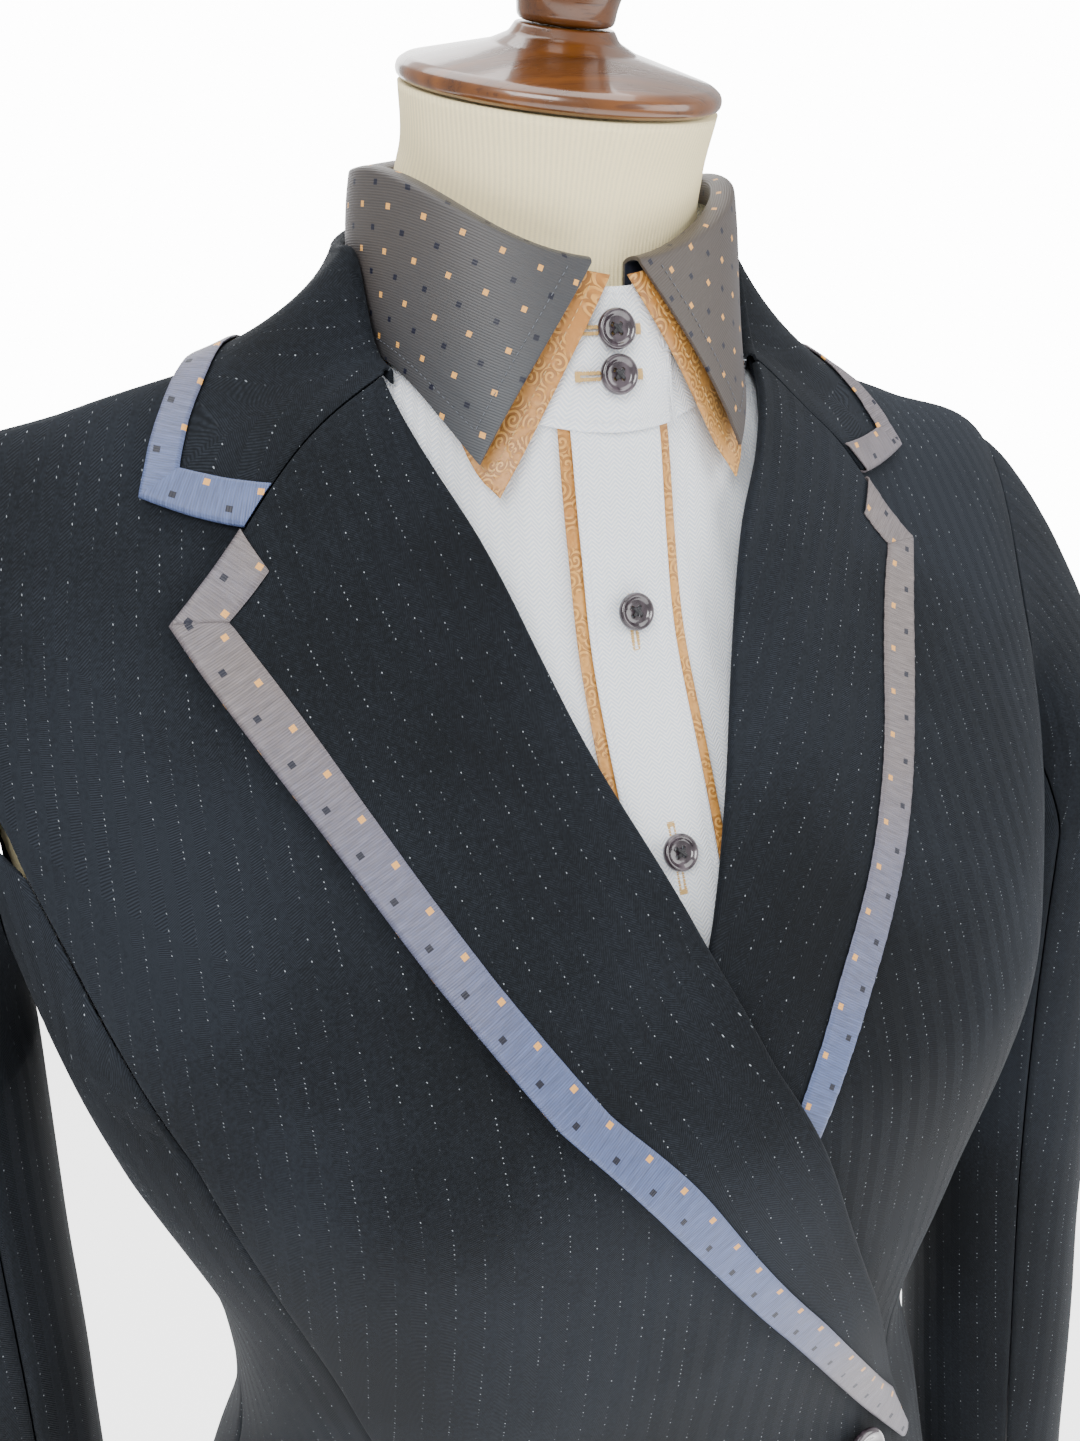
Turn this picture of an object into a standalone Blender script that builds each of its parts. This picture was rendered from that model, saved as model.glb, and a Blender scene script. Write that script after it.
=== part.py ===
"""Showmanship suit jacket and its matching shirt, standing on a limbless dress form.

The jacket is a fitted wrap front, right over left, with notched lapels and a band of dotted
brocade along every lapel and collar edge. The shirt under it has a two-button collar stand,
a copper under-collar and a dotted collar leaf. The form is a padded torso with a turned
wooden neck cap, on a pole and a round base.

Sizes are in millimetres and become metres in the meshes. +Z is up, the wearer faces -Y and
+X is the wearer's left. A place on the torso is a level, which is a row of BODY or a
fraction between two rows, and an angle in degrees round from centre front, positive towards
the wearer's left.
"""

import math
from typing import NamedTuple

import bmesh
import bpy
from mathutils import Matrix, Vector

MM = 0.001


class Ring(NamedTuple):
    """One closed line round the neck or torso, which may rise or fall towards the sides."""

    front_z: float
    side_z: float
    back_z: float
    half_width: float
    front_y: float
    back_y: float
    side_y: float
    front_power: float
    back_power: float
    shirt_side: float = 0.0
    shirt_depth: float = 0.0
    left_drop: float = 0.0  # how much lower the wearer's left side is


# Outside of the jacket, neck to hem. The last two columns are its ease over the shirt.
BODY = [
    # front   side   back  width front_y back side_y powers   ease
    Ring(1402, 1435, 1446, 66, -47, 62, 10, 2.0, 2.0, 8.0, 8.0),  # 0 neck seam
    Ring(1376, 1431, 1404, 102, -52, 82, 15, 1.9, 2.0, 3.5, 8.0),
    Ring(1344, 1419, 1362, 148, -60, 98, 18, 1.7, 2.1, 2.6, 8.0),
    Ring(1304, 1400, 1316, 196, -77, 107, 18, 1.7, 2.4, 3.0, 8.0),  # 3 shoulder tip
    Ring(1264, 1340, 1285, 200, -94, 110, 13, 2.2, 2.7, 6.0, 8.0),
    Ring(1230, 1262, 1250, 186, -109, 106, 5, 2.9, 2.5, 7.0, 8.0),  # 5 underarm
    Ring(1198, 1208, 1205, 171, -117, 97, 0, 3.2, 2.2, 7.0, 8.0),  # 6 bust
    Ring(1135, 1138, 1138, 145, -113, 86, -4, 3.0, 2.1, 7.0, 8.0),
    Ring(1065, 1065, 1065, 138, -104, 80, -8, 2.4, 2.1, 7.0, 8.0),  # 8 waist
    Ring(1000, 1000, 1000, 156, -111, 100, -6, 2.2, 2.2, 7.0, 8.0),
    Ring(925, 925, 925, 170, -120, 118, -4, 2.2, 2.2, 8.0, 8.0),
    Ring(835, 835, 835, 184, -128, 128, -2, 2.2, 2.2, 8.0, 8.0),  # 11 hem
]
RIDGE_POWER = 3.5  # how late a ring climbs to the shoulder, front
YOKE_POWER = 2.4  # and back
LEFT_DROP = 9.0  # the wearer's left shoulder hangs this much lower

NECK, SHOULDER_TIP, UNDERARM = 0.12, 3.0, 5.2
SHIRT_HEM = 10.5
FORM_BOTTOM = 11.35

# Cloth thickness and the clear space between layers.
JACKET_WALL = 1.4
SHIRT_WALL = 1.0
TRIM_WALL = 1.0
SEAM_GAP = 1.4
SHOULDER_GAP = 1.7
LAPEL_LIFT = 3.0
TRIM_LIFT = 1.9
OVERLAP_LIFT = 7.6
OVERLAP_FROM = (2.3, -60.0)  # level and angle at which the right front starts to stand out
FORM_SIDE, FORM_DEPTH = 2.0, 4.0  # how far the form lies inside the shirt

# Inner edge of the right front: its lapel's turn, neck to button, then its free edge to the
# hem. Level, angle.
RIGHT_TURN = [(0.12, -69.4), (0.29, -57), (0.81, -39.3), (1.31, -32.6), (1.9, -26.2),
              (2.6, -16), (3.25, -8.8), (3.6, -5.7), (3.96, -2.2), (4.7, 3.2), (5.48, 8),
              (6.28, 15.1), (6.8, 22.8), (7.32, 31.4), (7.96, 44.3), (8.4, 49.5), (9, 49.5),
              (10, 44), (11, 39)]
# The left front's, which is hidden under the right from about level 4.
LEFT_TURN = [(0.12, 69.4), (0.29, 53), (0.81, 34), (1.31, 29), (1.9, 24), (2.6, 14.4),
             (3.25, 7.6), (3.6, 4.4), (4.0, 0.8), (4.6, -5), (5.4, -12), (6.2, -18), (7, -22),
             (8, -24), (11, -20)]
# Free edge of each lapel, from its corner to its lower end: level, angle.
RIGHT_LAPEL_EDGE = [(2.44, -71.3), (2.65, -63.9), (3.0, -55.4), (3.35, -48.9), (3.7, -43.3),
                    (4.1, -37.7), (4.5, -33.1), (4.96, -27.9), (5.5, -22.2), (6.04, -14.8),
                    (6.64, -1.4), (7.32, 17.7), (7.9, 34.1), (8.36, 43.8), (8.66, 48.6)]
LEFT_LAPEL_EDGE = [(2.28, 70.0), (2.45, 64.8), (2.9, 55.8), (3.28, 49.2), (3.69, 41.8),
                   (4.25, 32.5), (4.8, 24), (5.44, 17.3), (6.04, 11.5), (6.4, 4), (6.6, -3)]
LAPEL_END = {-1: 8.6, 1: 6.6}  # level at which each lapel's turn ends
TURN_BACK = 8.0  # how far the front stops short of its lapel's turn
NOTCH_SHARE = 0.69  # how far along the lapel's top edge the collar meets it
BAND = 11.0  # width of the brocade band

# Princess seams, armhole to hem: level, angle.
FRONT_SEAM = [(4.15, 75.2), (4.45, 70.5), (4.9, 65.5), (5.4, 60.5), (6.1, 57), (7, 54), (8, 52),
              (9.5, 53), (11, 55)]
BACK_SEAM = [(4.1, 105), (4.5, 113), (5, 121), (6, 131), (7, 137), (8, 140), (11, 140)]
ARMHOLE_SPREAD = 13.0

# Jacket collar, front end to centre back: angle of its turn, then level and angle of its edge.
COLLAR = [(69.9, 1.70, 70.9), (72, 1.86, 74.8), (75, 2.02, 78.8), (80, 1.80, 80.9),
          (85, 1.46, 85), (92, 1.20, 91), (101, 1.07, 101), (111, 0.99, 111), (121, 0.94, 121),
          (132, 0.90, 132), (144, 0.87, 144), (156, 0.84, 156), (168, 0.81, 168), (180, 0.8, 180)]
COLLAR_TURN = Ring(1291, 1461, 1476, 66.5, -47, 71, 8, 2.0, 2.0)
COLLAR_BOW = -2.5
LEFT_COLLAR_RISE = 0.1  # levels that the collar's edge is higher on the dropped shoulder
TURN_RADIUS = 2.2
COLLAR_RISES = (70.5, 17.0)  # angle at which the collar leaves the lapel, and how gradually
COLLAR_STAND = (3.0, 27.0)  # depth of the collar inside its turn, at its front end and behind

# Shirt collar rings. The shirt's front opening is a little to the wearer's right.
OPENING_X = -4.0
STAND_SEAM = Ring(1412, 1430, 1441, 57, -44.5, 55, 8, 2.0, 2.0)
STAND_TOP = Ring(1450, 1477, 1485, 57, -39.6, 54, 10, 2.0, 2.0)
STAND_LAP = 1.5
STAND_REACH = 48.0  # distance from the neck's axis to the stand's front
LEAF_TOP = Ring(1456, 1483, 1491, 61.5, -45.2, 59.5, 11, 2.0, 2.0)
LEAF_EDGE = Ring(1371, 1433, 1446, 62, -64, 61, 9, 2.0, 2.0)
LEAF_BOW = 3.0
LIP_IN, LIP_DEPTH = 3.3, 7.0  # the leaf's turn inside the stand
LEAF_TOP_START, LEAF_TIP_ANGLE = 8.0, 41.0
BORDER = 9.0  # how far the copper under-collar shows past the leaf's lower edge
BORDER_FRONT = (5.5, 9.0)  # and past its front edge, at the top and at the tip
STAND_START = 10.0  # angle of the stand's hidden left end
STAND_OVERLAP = 22.0  # degrees that its right end laps past centre front
STAND_CORNER = 14.0

# Sleeve, from the bicep down: height, centre, half widths.
SLEEVE = [(1235, 222, 4, 37.5, 54), (1150, 223.5, 2, 39, 51), (1060, 223.5, -5, 38, 47),
          (940, 223, -19, 36, 42), (815, 222, -34, 34, 38)]
FRONT_SLEEVE_SEAM, BACK_SLEEVE_SEAM = 120.0, 235.0
SLEEVE_SEAM_GAP = 0.85  # degrees each side of a sleeve seam
ARMHOLE_CENTRE, SLEEVE_GAP = Vector((190, 8, 1325)), 1.0
SLEEVE_HEAD = {-1: -8.0, 1: -3.0}  # first rise of each sleeve's head beyond the shoulder
CROWN_ROWS = 5  # rows of mesh from the armhole to the bicep

# Dress form.
FORM_NECK = [
    Ring(1491.5, 1504.4, 1517.1, 48.2, -46.8, 46.0, -0.4, 2.0, 2.0),
    Ring(1473, 1490, 1502, 47.2, -37.2, 47.0, 3, 2.0, 2.0),
    Ring(1450, 1475, 1484, 49.5, -31.8, 49.0, 8, 2.0, 2.0),
    Ring(1407, 1426.5, 1437, 54.4, -40.0, 51.2, 8, 2.0, 2.0),
]
NECK_POWER = 2.0
FORM_FOOT = 12.0  # height of the rounded edge under the hips
CAP_TILT = 15.6
CAP_CENTRE = Vector((0, -0.4, 1505.0))
CAP_PROFILE = [(0, 0), (46.5, 0), (48.6, 1.2), (49, 3), (48.4, 4.8), (46, 6.4), (34, 9.4),
               (22, 12.4), (16.5, 15), (14.6, 18), (0, 18)]
FINIAL_PROFILE = [(0, 0), (14.4, 0), (14.8, 5), (17.6, 14), (21.5, 24), (23, 34), (21, 44),
                  (14, 52), (6, 55.5), (0, 56)]
POLE_RADIUS = 15.0
BASE_PROFILE = [(0, 0), (150, 0), (152, 3), (152, 14), (148, 18), (120, 22), (60, 27),
                (24, 31), (0, 31)]

# Buttons: level or height, angle, radius, thickness.
SHIRT_BUTTON = (5.9, 3.0)
JACKET_BUTTON = (12.5, 4.0)
STAND_BUTTONS = (0.69, 0.36)  # share of the stand's height
PLACKET_BUTTONS = (1.66, 3.43)  # levels
JACKET_BUTTON_AT = (8.42, 35.0)
BUTTON_GAP = 0.6


class Finish(NamedTuple):
    colour: tuple
    roughness: float
    metallic: float = 0.0


WOOL = Finish((0.017, 0.021, 0.028), 0.85)
BROCADE = Finish((0.20, 0.20, 0.24), 0.45)
COLLAR_BROCADE = Finish((0.12, 0.12, 0.125), 0.45)
COPPER = Finish((0.52, 0.25, 0.06), 0.4)
COTTON = Finish((0.76, 0.80, 0.85), 0.7)
HORN = Finish((0.07, 0.05, 0.06), 0.25)
JERSEY = Finish((0.72, 0.68, 0.54), 0.9)
WOOD = Finish((0.22, 0.07, 0.015), 0.3)
STEEL = Finish((0.05, 0.05, 0.055), 0.35, 0.9)


def clear_scene():
    for obj in list(bpy.data.objects):
        bpy.data.objects.remove(obj, do_unlink=True)


def lerp(a, b, t):
    return a + (b - a) * t


def ease(t):
    """0 to 1 with level ends, clamped."""
    t = min(1.0, max(0.0, t))
    return t * t * (3 - 2 * t)


def along(table, x, column=1):
    """Reads a column of a table of rows at x, its first column, in straight steps."""
    if x <= table[0][0]:
        return table[0][column]
    for low, high in zip(table, table[1:]):
        if x <= high[0]:
            return lerp(low[column], high[column], (x - low[0]) / (high[0] - low[0]))
    return table[-1][column]


def curve(rows, place):
    """Smooth curve through the rows, read at a row number that may be a fraction."""
    last = len(rows) - 1
    low = min(last - 1, max(0, math.floor(place)))
    t = place - low

    def row(i):
        if i < 0:
            return [2 * a - b for a, b in zip(rows[0], rows[1])]
        if i > last:
            return [2 * a - b for a, b in zip(rows[last], rows[last - 1])]
        return rows[i]

    near = zip(row(low - 1), row(low), row(low + 1), row(low + 2))
    return [b + 0.5 * t * (c - a + t * (2 * a - 5 * b + 4 * c - d + t * (3 * (b - c) + d - a)))
            for a, b, c, d in near]


def ring_point(ring, angle, rise_power=None):
    """Where the ring is at an angle from centre front."""
    s, c = math.sin(math.radians(angle)), math.cos(math.radians(angle))
    front = c >= 0
    depth = ring.side_y - ring.front_y if front else ring.back_y - ring.side_y
    power = ring.front_power if front else ring.back_power
    side_z = ring.side_z - (ring.left_drop if s > 0 else 0.0)
    reach = (abs(s / ring.half_width) ** power + abs(c / depth) ** power) ** (-1 / power)
    rise = abs(reach * s / ring.half_width)
    rise **= rise_power or (RIDGE_POWER if front else YOKE_POWER)
    end_z = ring.front_z if front else ring.back_z
    return Vector((reach * s, ring.side_y - reach * c, lerp(end_z, side_z, rise)))


def level_ring_point(ring, angle):
    """A ring whose front and back halves are each flat."""
    at = ring_point(ring, angle)
    end_y, end_z = (ring.front_y, ring.front_z) if at.y < ring.side_y else (ring.back_y,
                                                                            ring.back_z)
    at.z = lerp(ring.side_z, end_z, (at.y - ring.side_y) / (end_y - ring.side_y))
    return at


def body_ring(level, layer="jacket"):
    """The ring of the jacket's outside at a level, or of the shirt's or the form's."""
    dropped = LEFT_DROP * ease(level) * ease((UNDERARM - level) / 2.2)
    ring = Ring(*curve(BODY, level))._replace(left_drop=dropped)
    if layer == "jacket":
        return ring
    side, depth = ring.shirt_side, ring.shirt_depth
    if layer == "form":
        side, depth = side + FORM_SIDE, depth + FORM_DEPTH
    top = min(1.0, max(0.0, (4.5 - level) / 1.5))
    ring = ring._replace(
        half_width=ring.half_width - side,
        front_y=ring.front_y + depth,
        back_y=ring.back_y - depth,
        side_z=ring.side_z - side * top,
        back_z=ring.back_z - 0.4 * depth * top,
    )
    seam = FORM_NECK[-1] if layer == "form" else STAND_SEAM
    near = 1 - ease(level / 0.9)
    mixed = [lerp(a, b, near) for a, b in zip(ring, seam)]
    return Ring(*mixed)._replace(shirt_side=near)


def layer_point(level, angle, layer):
    """A point of a layer, which near the neck follows the collar stand's seam."""
    ring = body_ring(level, layer)
    if layer == "jacket":
        return ring_point(ring, angle)
    at = ring_point(ring, angle)
    seamed = ring_point(ring, angle, NECK_POWER)
    return lerp(at, seamed, ring.shirt_side) + opening_shift(angle) * ring.shirt_side


def opening_shift(angle):
    """The shirt's front opening is off centre; this fades out round the neck."""
    turn = abs((angle + 180) % 360 - 180)
    return Vector((OPENING_X * ease((70 - turn) / 55), 0, 0))


def body(level, angle, lift=0.0, layer="jacket"):
    """A point of the torso, moved out by lift along the surface's normal."""
    at = layer_point(level, angle, layer)
    if not lift:
        return at
    step_level, step_angle = 0.02, 0.4
    down = (layer_point(level + step_level, angle, layer)
            - layer_point(level - step_level, angle, layer))
    side = (layer_point(level, angle + step_angle, layer)
            - layer_point(level, angle - step_angle, layer))
    return at + down.cross(side).normalized() * lift


def degrees_for(width, level, angle):
    """The angle that a width takes up on the torso."""
    return math.degrees(width / max(30.0, body(level, angle).xy.length))


# ---------------------------------------------------------------- meshes and objects

parts = bpy.data.collections.new("showmanship_suit")
bpy.context.scene.collection.children.link(parts)


def material(name, finish):
    made = bpy.data.materials.get(name) or bpy.data.materials.new(name)
    made.use_nodes = True
    shader = made.node_tree.nodes["Principled BSDF"]
    shader.inputs["Base Color"].default_value = (*finish.colour, 1)
    shader.inputs["Roughness"].default_value = finish.roughness
    shader.inputs["Metallic"].default_value = finish.metallic
    return made


def add(name, mesh_data, finish, smooth_angle=40.0):
    obj = bpy.data.objects.new(name, mesh_data)
    parts.objects.link(obj)
    mesh_data.materials.append(material(name, finish))
    mesh_data.shade_smooth()
    mesh_data.set_sharp_from_angle(angle=math.radians(smooth_angle))
    return obj


def grid_mesh(name, place, across, down, outward=None):
    """A grid moved to place(u, v), u and v from 0 to 1, with its faces turned outward.

    across and down are each a count of steps or a list of u or v values. outward(centre)
    gives a direction that the faces are to look in.
    """
    steps = [list(n) if isinstance(n, (list, tuple)) else [i / n for i in range(n + 1)]
             for n in (across, down)]
    bm = bmesh.new()
    bmesh.ops.create_grid(bm, x_segments=len(steps[0]) - 1, y_segments=len(steps[1]) - 1, size=0.5)
    for vert in bm.verts:
        column = round((vert.co.x + 0.5) * (len(steps[0]) - 1))
        row = round((vert.co.y + 0.5) * (len(steps[1]) - 1))
        vert.co = place(steps[0][column], steps[1][row]) * MM
    bmesh.ops.triangulate(bm, faces=bm.faces, quad_method="SHORT_EDGE")
    bm.normal_update()
    if outward:
        facing = sum(f.normal.dot(outward(f.calc_center_median() / MM)) * f.calc_area()
                     for f in bm.faces)
        if facing < 0:
            bmesh.ops.reverse_faces(bm, faces=bm.faces)
    made = bpy.data.meshes.new(name)
    bm.to_mesh(made)
    bm.free()
    return made


def from_axis(centre):
    """Away from the middle of the torso."""
    return Vector((centre.x, centre.y, 0))


def cloth(name, place, across, down, wall, finish, outward=from_axis):
    """An open sheet with a wall laid inwards from it."""
    obj = add(name, grid_mesh(name, place, across, down, outward), finish)
    wall_of = obj.modifiers.new("wall", "SOLIDIFY")
    wall_of.thickness = wall * MM
    wall_of.offset = -1
    wall_of.use_even_offset = True
    return obj


def turned(name, profile, steps, finish, at, tilt=0.0):
    """A profile of (radius, height) turned about its own upright axis, then tipped forward."""
    bm = bmesh.new()
    for radius, height in reversed(profile):
        bm.verts.new((radius * MM, 0, height * MM))
    bm.verts.ensure_lookup_table()
    for low, high in zip(bm.verts, bm.verts[1:]):
        bm.edges.new((low, high))
    made = bpy.data.meshes.new(name)
    bm.to_mesh(made)
    bm.free()
    obj = add(name, made, finish)
    screw = obj.modifiers.new("turn", "SCREW")
    screw.steps = screw.render_steps = steps
    screw.use_merge_vertices = True
    screw.merge_threshold = 0.00005
    obj.location = at * MM
    obj.rotation_euler = (math.radians(tilt), 0, 0)
    return obj


# ---------------------------------------------------------------- torso lines

def armhole(level, side):
    """Angle of the armhole's edge, side 1 in front and -1 behind."""
    t = (level - SHOULDER_TIP) / (UNDERARM - SHOULDER_TIP)
    if t <= 0 or t >= 1:
        return 90.0
    return 90.0 - side * ARMHOLE_SPREAD * math.sin(math.pi * t) ** 0.7


def roll_line(side):
    """Level and signed angle of a front's inner edge, neck to hem. side is 1 for the left."""
    return LEFT_TURN if side > 0 else RIGHT_TURN


def right_lift(level, angle):
    """How far the right front stands out to pass over the left front and its lapel."""
    top, side = OVERLAP_FROM
    return OVERLAP_LIFT * ease((level - top) / 1.5) * ease((angle - side) / 28)


def front_lift(side, level, angle):
    return 0.0 if side > 0 else right_lift(level, angle)


LOWER_LEVELS = [4.45, 4.7, 4.95, 5.2, 5.7, 6.2, 6.6, 7.0, 7.5, 8.0, 8.35, 8.6, 8.68, 9.0, 9.7,
                10.4, 11.0]
FRONT_LEVELS = [NECK, 0.5, 1.0, 1.6, 2.2, 2.7, 3.0, 3.14, 3.4, 3.75, 4.0, 4.2] + LOWER_LEVELS
SIDE_LEVELS = [4.26] + LOWER_LEVELS


def pick(levels, v):
    """The level at v, 0 to 1 along a list of levels."""
    place = v * (len(levels) - 1)
    low = min(len(levels) - 2, int(place))
    return lerp(levels[low], levels[low + 1], place - low)


def panel(name, levels, inner, outer, across, lift=None):
    """A jacket panel between two lines, each a function of level that gives a signed angle."""

    def place(u, v):
        level = pick(levels, v)
        start, end = inner(level), outer(level)
        gap = lerp(SHOULDER_GAP, SEAM_GAP, ease(level - SHOULDER_TIP))
        half = degrees_for(gap / 2, level, end)
        sense = 1 if end > start else -1
        angle = lerp(start + sense * half, end - sense * half, u)
        return body(level, angle, lift(level, angle) if lift else 0.0)

    return cloth(name, place, across, len(levels) - 1, JACKET_WALL, WOOL)


def front_outer(level):
    return armhole(level, 1) if level < 4.1 else along(FRONT_SEAM, level)


def back_outer(level):
    return armhole(level, -1) if level < 4.05 else along(BACK_SEAM, level)


def side_front_edge(level):
    return armhole(level, 1) if level < UNDERARM else 90.0


def side_back_edge(level):
    return armhole(level, -1) if level < UNDERARM else 90.0


def jacket_body():
    for side, hand in ((-1, "right"), (1, "left")):
        line = roll_line(side)

        def inner(level, side=side, line=line):
            angle = along(line, level)
            back = TURN_BACK if level < LAPEL_END[side] + 0.02 else 0.0
            return angle + side * degrees_for(back, level, angle)

        panel(f"front_{hand}", FRONT_LEVELS, inner, lambda k, s=side: s * front_outer(k), 9,
              lambda k, a, s=side: front_lift(s, k, a))
        panel(f"side_front_{hand}", SIDE_LEVELS, lambda k, s=side: s * along(FRONT_SEAM, k),
              lambda k, s=side: s * side_front_edge(k), 4)
        panel(f"side_back_{hand}", SIDE_LEVELS, lambda k, s=side: s * side_back_edge(k),
              lambda k, s=side: s * along(BACK_SEAM, k), 5)
        panel(f"back_{hand}", FRONT_LEVELS, lambda k, s=side: s * back_outer(k),
              lambda k, s=side: s * 180.0, 6)


# ---------------------------------------------------------------- lapels, collar, bands

def polyline(points, t):
    """A point at share t of a list of points, measured by its steps."""
    place = t * (len(points) - 1)
    low = min(len(points) - 2, int(place))
    return [lerp(a, b, place - low) for a, b in zip(points[low], points[low + 1])]


def evenly(points, count):
    """The points respaced to count equal steps, measured on the torso."""
    places = [body(*p) for p in points]
    marks = [0.0]
    for a, b in zip(places, places[1:]):
        marks.append(marks[-1] + (b - a).length)
    rows = [(m, *p) for m, p in zip(marks, points)]
    return [(along(rows, marks[-1] * i / count, 1), along(rows, marks[-1] * i / count, 2))
            for i in range(count + 1)]


LAPEL_ROWS = 22
LAPEL_COLUMNS = [0, 0.03, 0.1, 0.3, 0.52, 0.76, 1]


class Lapel:
    """A turned-back lapel: u runs from its turn to its free edge, v from its top down."""

    def __init__(self, side):
        self.side = side
        line = [p for p in roll_line(side) if p[0] < LAPEL_END[side]]
        line.append((LAPEL_END[side], along(roll_line(side), LAPEL_END[side])))
        self.turn = evenly(line, LAPEL_ROWS)
        self.edge = evenly(LEFT_LAPEL_EDGE if side > 0 else RIGHT_LAPEL_EDGE, LAPEL_ROWS)

    def spot(self, u, v):
        start, end = polyline(self.turn, v), polyline(self.edge, v)
        return lerp(start[0], end[0], u), lerp(start[1], end[1], u)

    def at(self, u, v, lift=0.0):
        level, angle = self.spot(u, v)
        base = front_lift(self.side, level, angle)
        return body(level, angle, base + LAPEL_LIFT * ease(u / 0.1 + 0.1) + lift)

    def width(self, v):
        return (self.at(1, v) - self.at(0, v)).length


def lapel_band(lapel):
    """The brocade band along the top of a lapel beyond the notch and down its free edge."""
    inner_u = 1 - BAND / lapel.width(0)
    drop = BAND / (lapel.at(1, 1) - lapel.at(1, 0)).length
    arm, run, last = 3, LAPEL_ROWS, 0.985
    notch = NOTCH_SHARE + 0.015
    rows = [((lerp(notch, 1, i / arm), 0.0), (lerp(notch, inner_u, i / arm), drop))
            for i in range(arm + 1)]
    for i in range(1, run):
        v = lerp(drop, last, i / (run - 1))
        rows.append(((1.0, v), (max(0.12, 1 - BAND / lapel.width(v)), v)))

    def place(u, v):
        outer, inner = rows[round(v * (len(rows) - 1))]
        return lapel.at(lerp(outer[0], inner[0], u), lerp(outer[1], inner[1], u), TRIM_LIFT)

    return place, len(rows) - 1


def lapels():
    for side, hand in ((-1, "right"), (1, "left")):
        lapel = Lapel(side)
        cloth(f"lapel_{hand}", lapel.at, LAPEL_COLUMNS, LAPEL_ROWS, JACKET_WALL, WOOL)
        place, count = lapel_band(lapel)
        cloth(f"lapel_trim_{hand}", place, 2, count, TRIM_WALL, BROCADE)


def collar_row(share):
    """Turn angle and the level and angle of the edge, share 0 at the front end, 1 at the back."""
    return polyline(COLLAR, share)


def collar_fall(share, u, sign):
    """The collar outside its turn: u 0 at the turn and 1 at the edge."""
    turn_angle, edge_level, edge_angle = collar_row(share)
    edge_level -= LEFT_COLLAR_RISE if sign > 0 else 0.0
    hug = body(lerp(NECK, edge_level, u), sign * lerp(turn_angle, edge_angle, u), LAPEL_LIFT)
    top = ring_point(COLLAR_TURN, sign * turn_angle)
    top += radial(top) * TURN_RADIUS
    edge = body(edge_level, sign * edge_angle, LAPEL_LIFT)
    bow = Vector((0, 0, 1)) + radial(top)
    bridge = lerp(top, edge, u) + bow * (COLLAR_BOW * 4 * u * (1 - u))
    start, over = COLLAR_RISES
    return lerp(hug, bridge, ease((turn_angle - start) / over))


def off_collar(share, u, sign, lift):
    """The collar's fall moved out along its normal."""
    step = 0.01
    down = (collar_fall(share, min(1.0, u + step), sign)
            - collar_fall(share, max(0.0, u - step), sign))
    side = (collar_fall(min(1.0, share + step), u, sign)
            - collar_fall(max(0.0, share - step), u, sign))
    normal = down.cross(side).normalized()
    at = collar_fall(share, u, sign)
    if normal.dot(radial(at) + Vector((0, 0, 1))) < 0:
        normal = -normal
    return at + normal * lift


def radial(point):
    """Level direction away from the neck's axis."""
    return Vector((point.x, point.y - 10, 0)).normalized()


COLLAR_COLUMNS = [-3, -2, -1, 0, 0.2, 0.45, 0.72, 1]


def collar_point(u, v):
    """v runs 0 to 1 from the right end round the back to the left end."""
    sign = -1 if v < 0.5 else 1
    share = 1 - abs(2 * v - 1)
    if u >= 0:
        return collar_fall(share, u, sign)
    outer = collar_fall(share, 0, sign)
    inwards = -radial(outer)
    if u == -1:
        return outer + inwards * TURN_RADIUS + Vector((0, 0, 0.8 * TURN_RADIUS))
    inner = outer + inwards * 2 * TURN_RADIUS
    if u == -2:
        return inner
    turn_angle = collar_row(share)[0]
    depth = lerp(*COLLAR_STAND, ease((turn_angle - 72) / 24))
    return inner - Vector((0, 0, depth))


def collar():
    share_rows = [i / (len(COLLAR) - 1) for i in range(len(COLLAR))]
    rows = [s / 2 for s in share_rows] + [1 - s / 2 for s in reversed(share_rows[:-1])]
    cloth("jacket_collar", collar_point, COLLAR_COLUMNS, rows, JACKET_WALL, WOOL,
          lambda c: radial(c) + Vector((0, 0, 1)))

    def band(u, v):
        """The band goes from the notch along the end to the point, then round the back."""
        sign = -1 if v < 0.5 else 1
        share = 1 - abs(2 * v - 1)
        fall = (collar_fall(share, 1, sign) - collar_fall(share, 0, sign)).length
        return off_collar(share, 1 - u * BAND / fall, sign, TRIM_LIFT + 0.6)

    cloth("collar_trim", band, 2, rows, TRIM_WALL, BROCADE, lambda c: radial(c) + Vector((0, 0, 1)))


# ---------------------------------------------------------------- sleeves

def sleeve_ring(row, around):
    height, centre_x, centre_y, half_x, half_y = row
    a = math.radians(around)
    return Vector((centre_x + half_x * math.cos(a), centre_y - half_y * math.sin(a), height))


def sleeve_point(around, v, hand):
    """A point of a sleeve, the right one's mirrored: around 0 outside, 90 in front; v 0 at the
    armhole."""
    a = math.radians(around)
    t = (1 - math.cos(a)) / 2
    level = lerp(SHOULDER_TIP, UNDERARM, t)
    side = 1 if math.sin(a) >= 0 else -1
    hole = body(level, hand * armhole(level, side))
    hole.x *= hand
    hole += (ARMHOLE_CENTRE - hole).normalized() * SLEEVE_GAP + Vector((0.7, 0, 0))
    place = v * (CROWN_ROWS + 2 * (len(SLEEVE) - 1))
    bicep = sleeve_ring(SLEEVE[0], around)
    if place <= CROWN_ROWS:
        s = place / CROWN_ROWS
        top = (1 + math.cos(a)) / 2
        first = hole + Vector((lerp(3, 16, top), 0, lerp(-4, SLEEVE_HEAD[hand], top)))
        second = bicep + Vector((0, 0, lerp(3, 0.52 * (hole.z - bicep.z), top ** 0.5)))
        return (hole * (1 - s) ** 3 + first * 3 * s * (1 - s) ** 2
                + second * 3 * s * s * (1 - s) + bicep * s ** 3)
    return sleeve_ring(curve(SLEEVE, (place - CROWN_ROWS) / 2), around)


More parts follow.
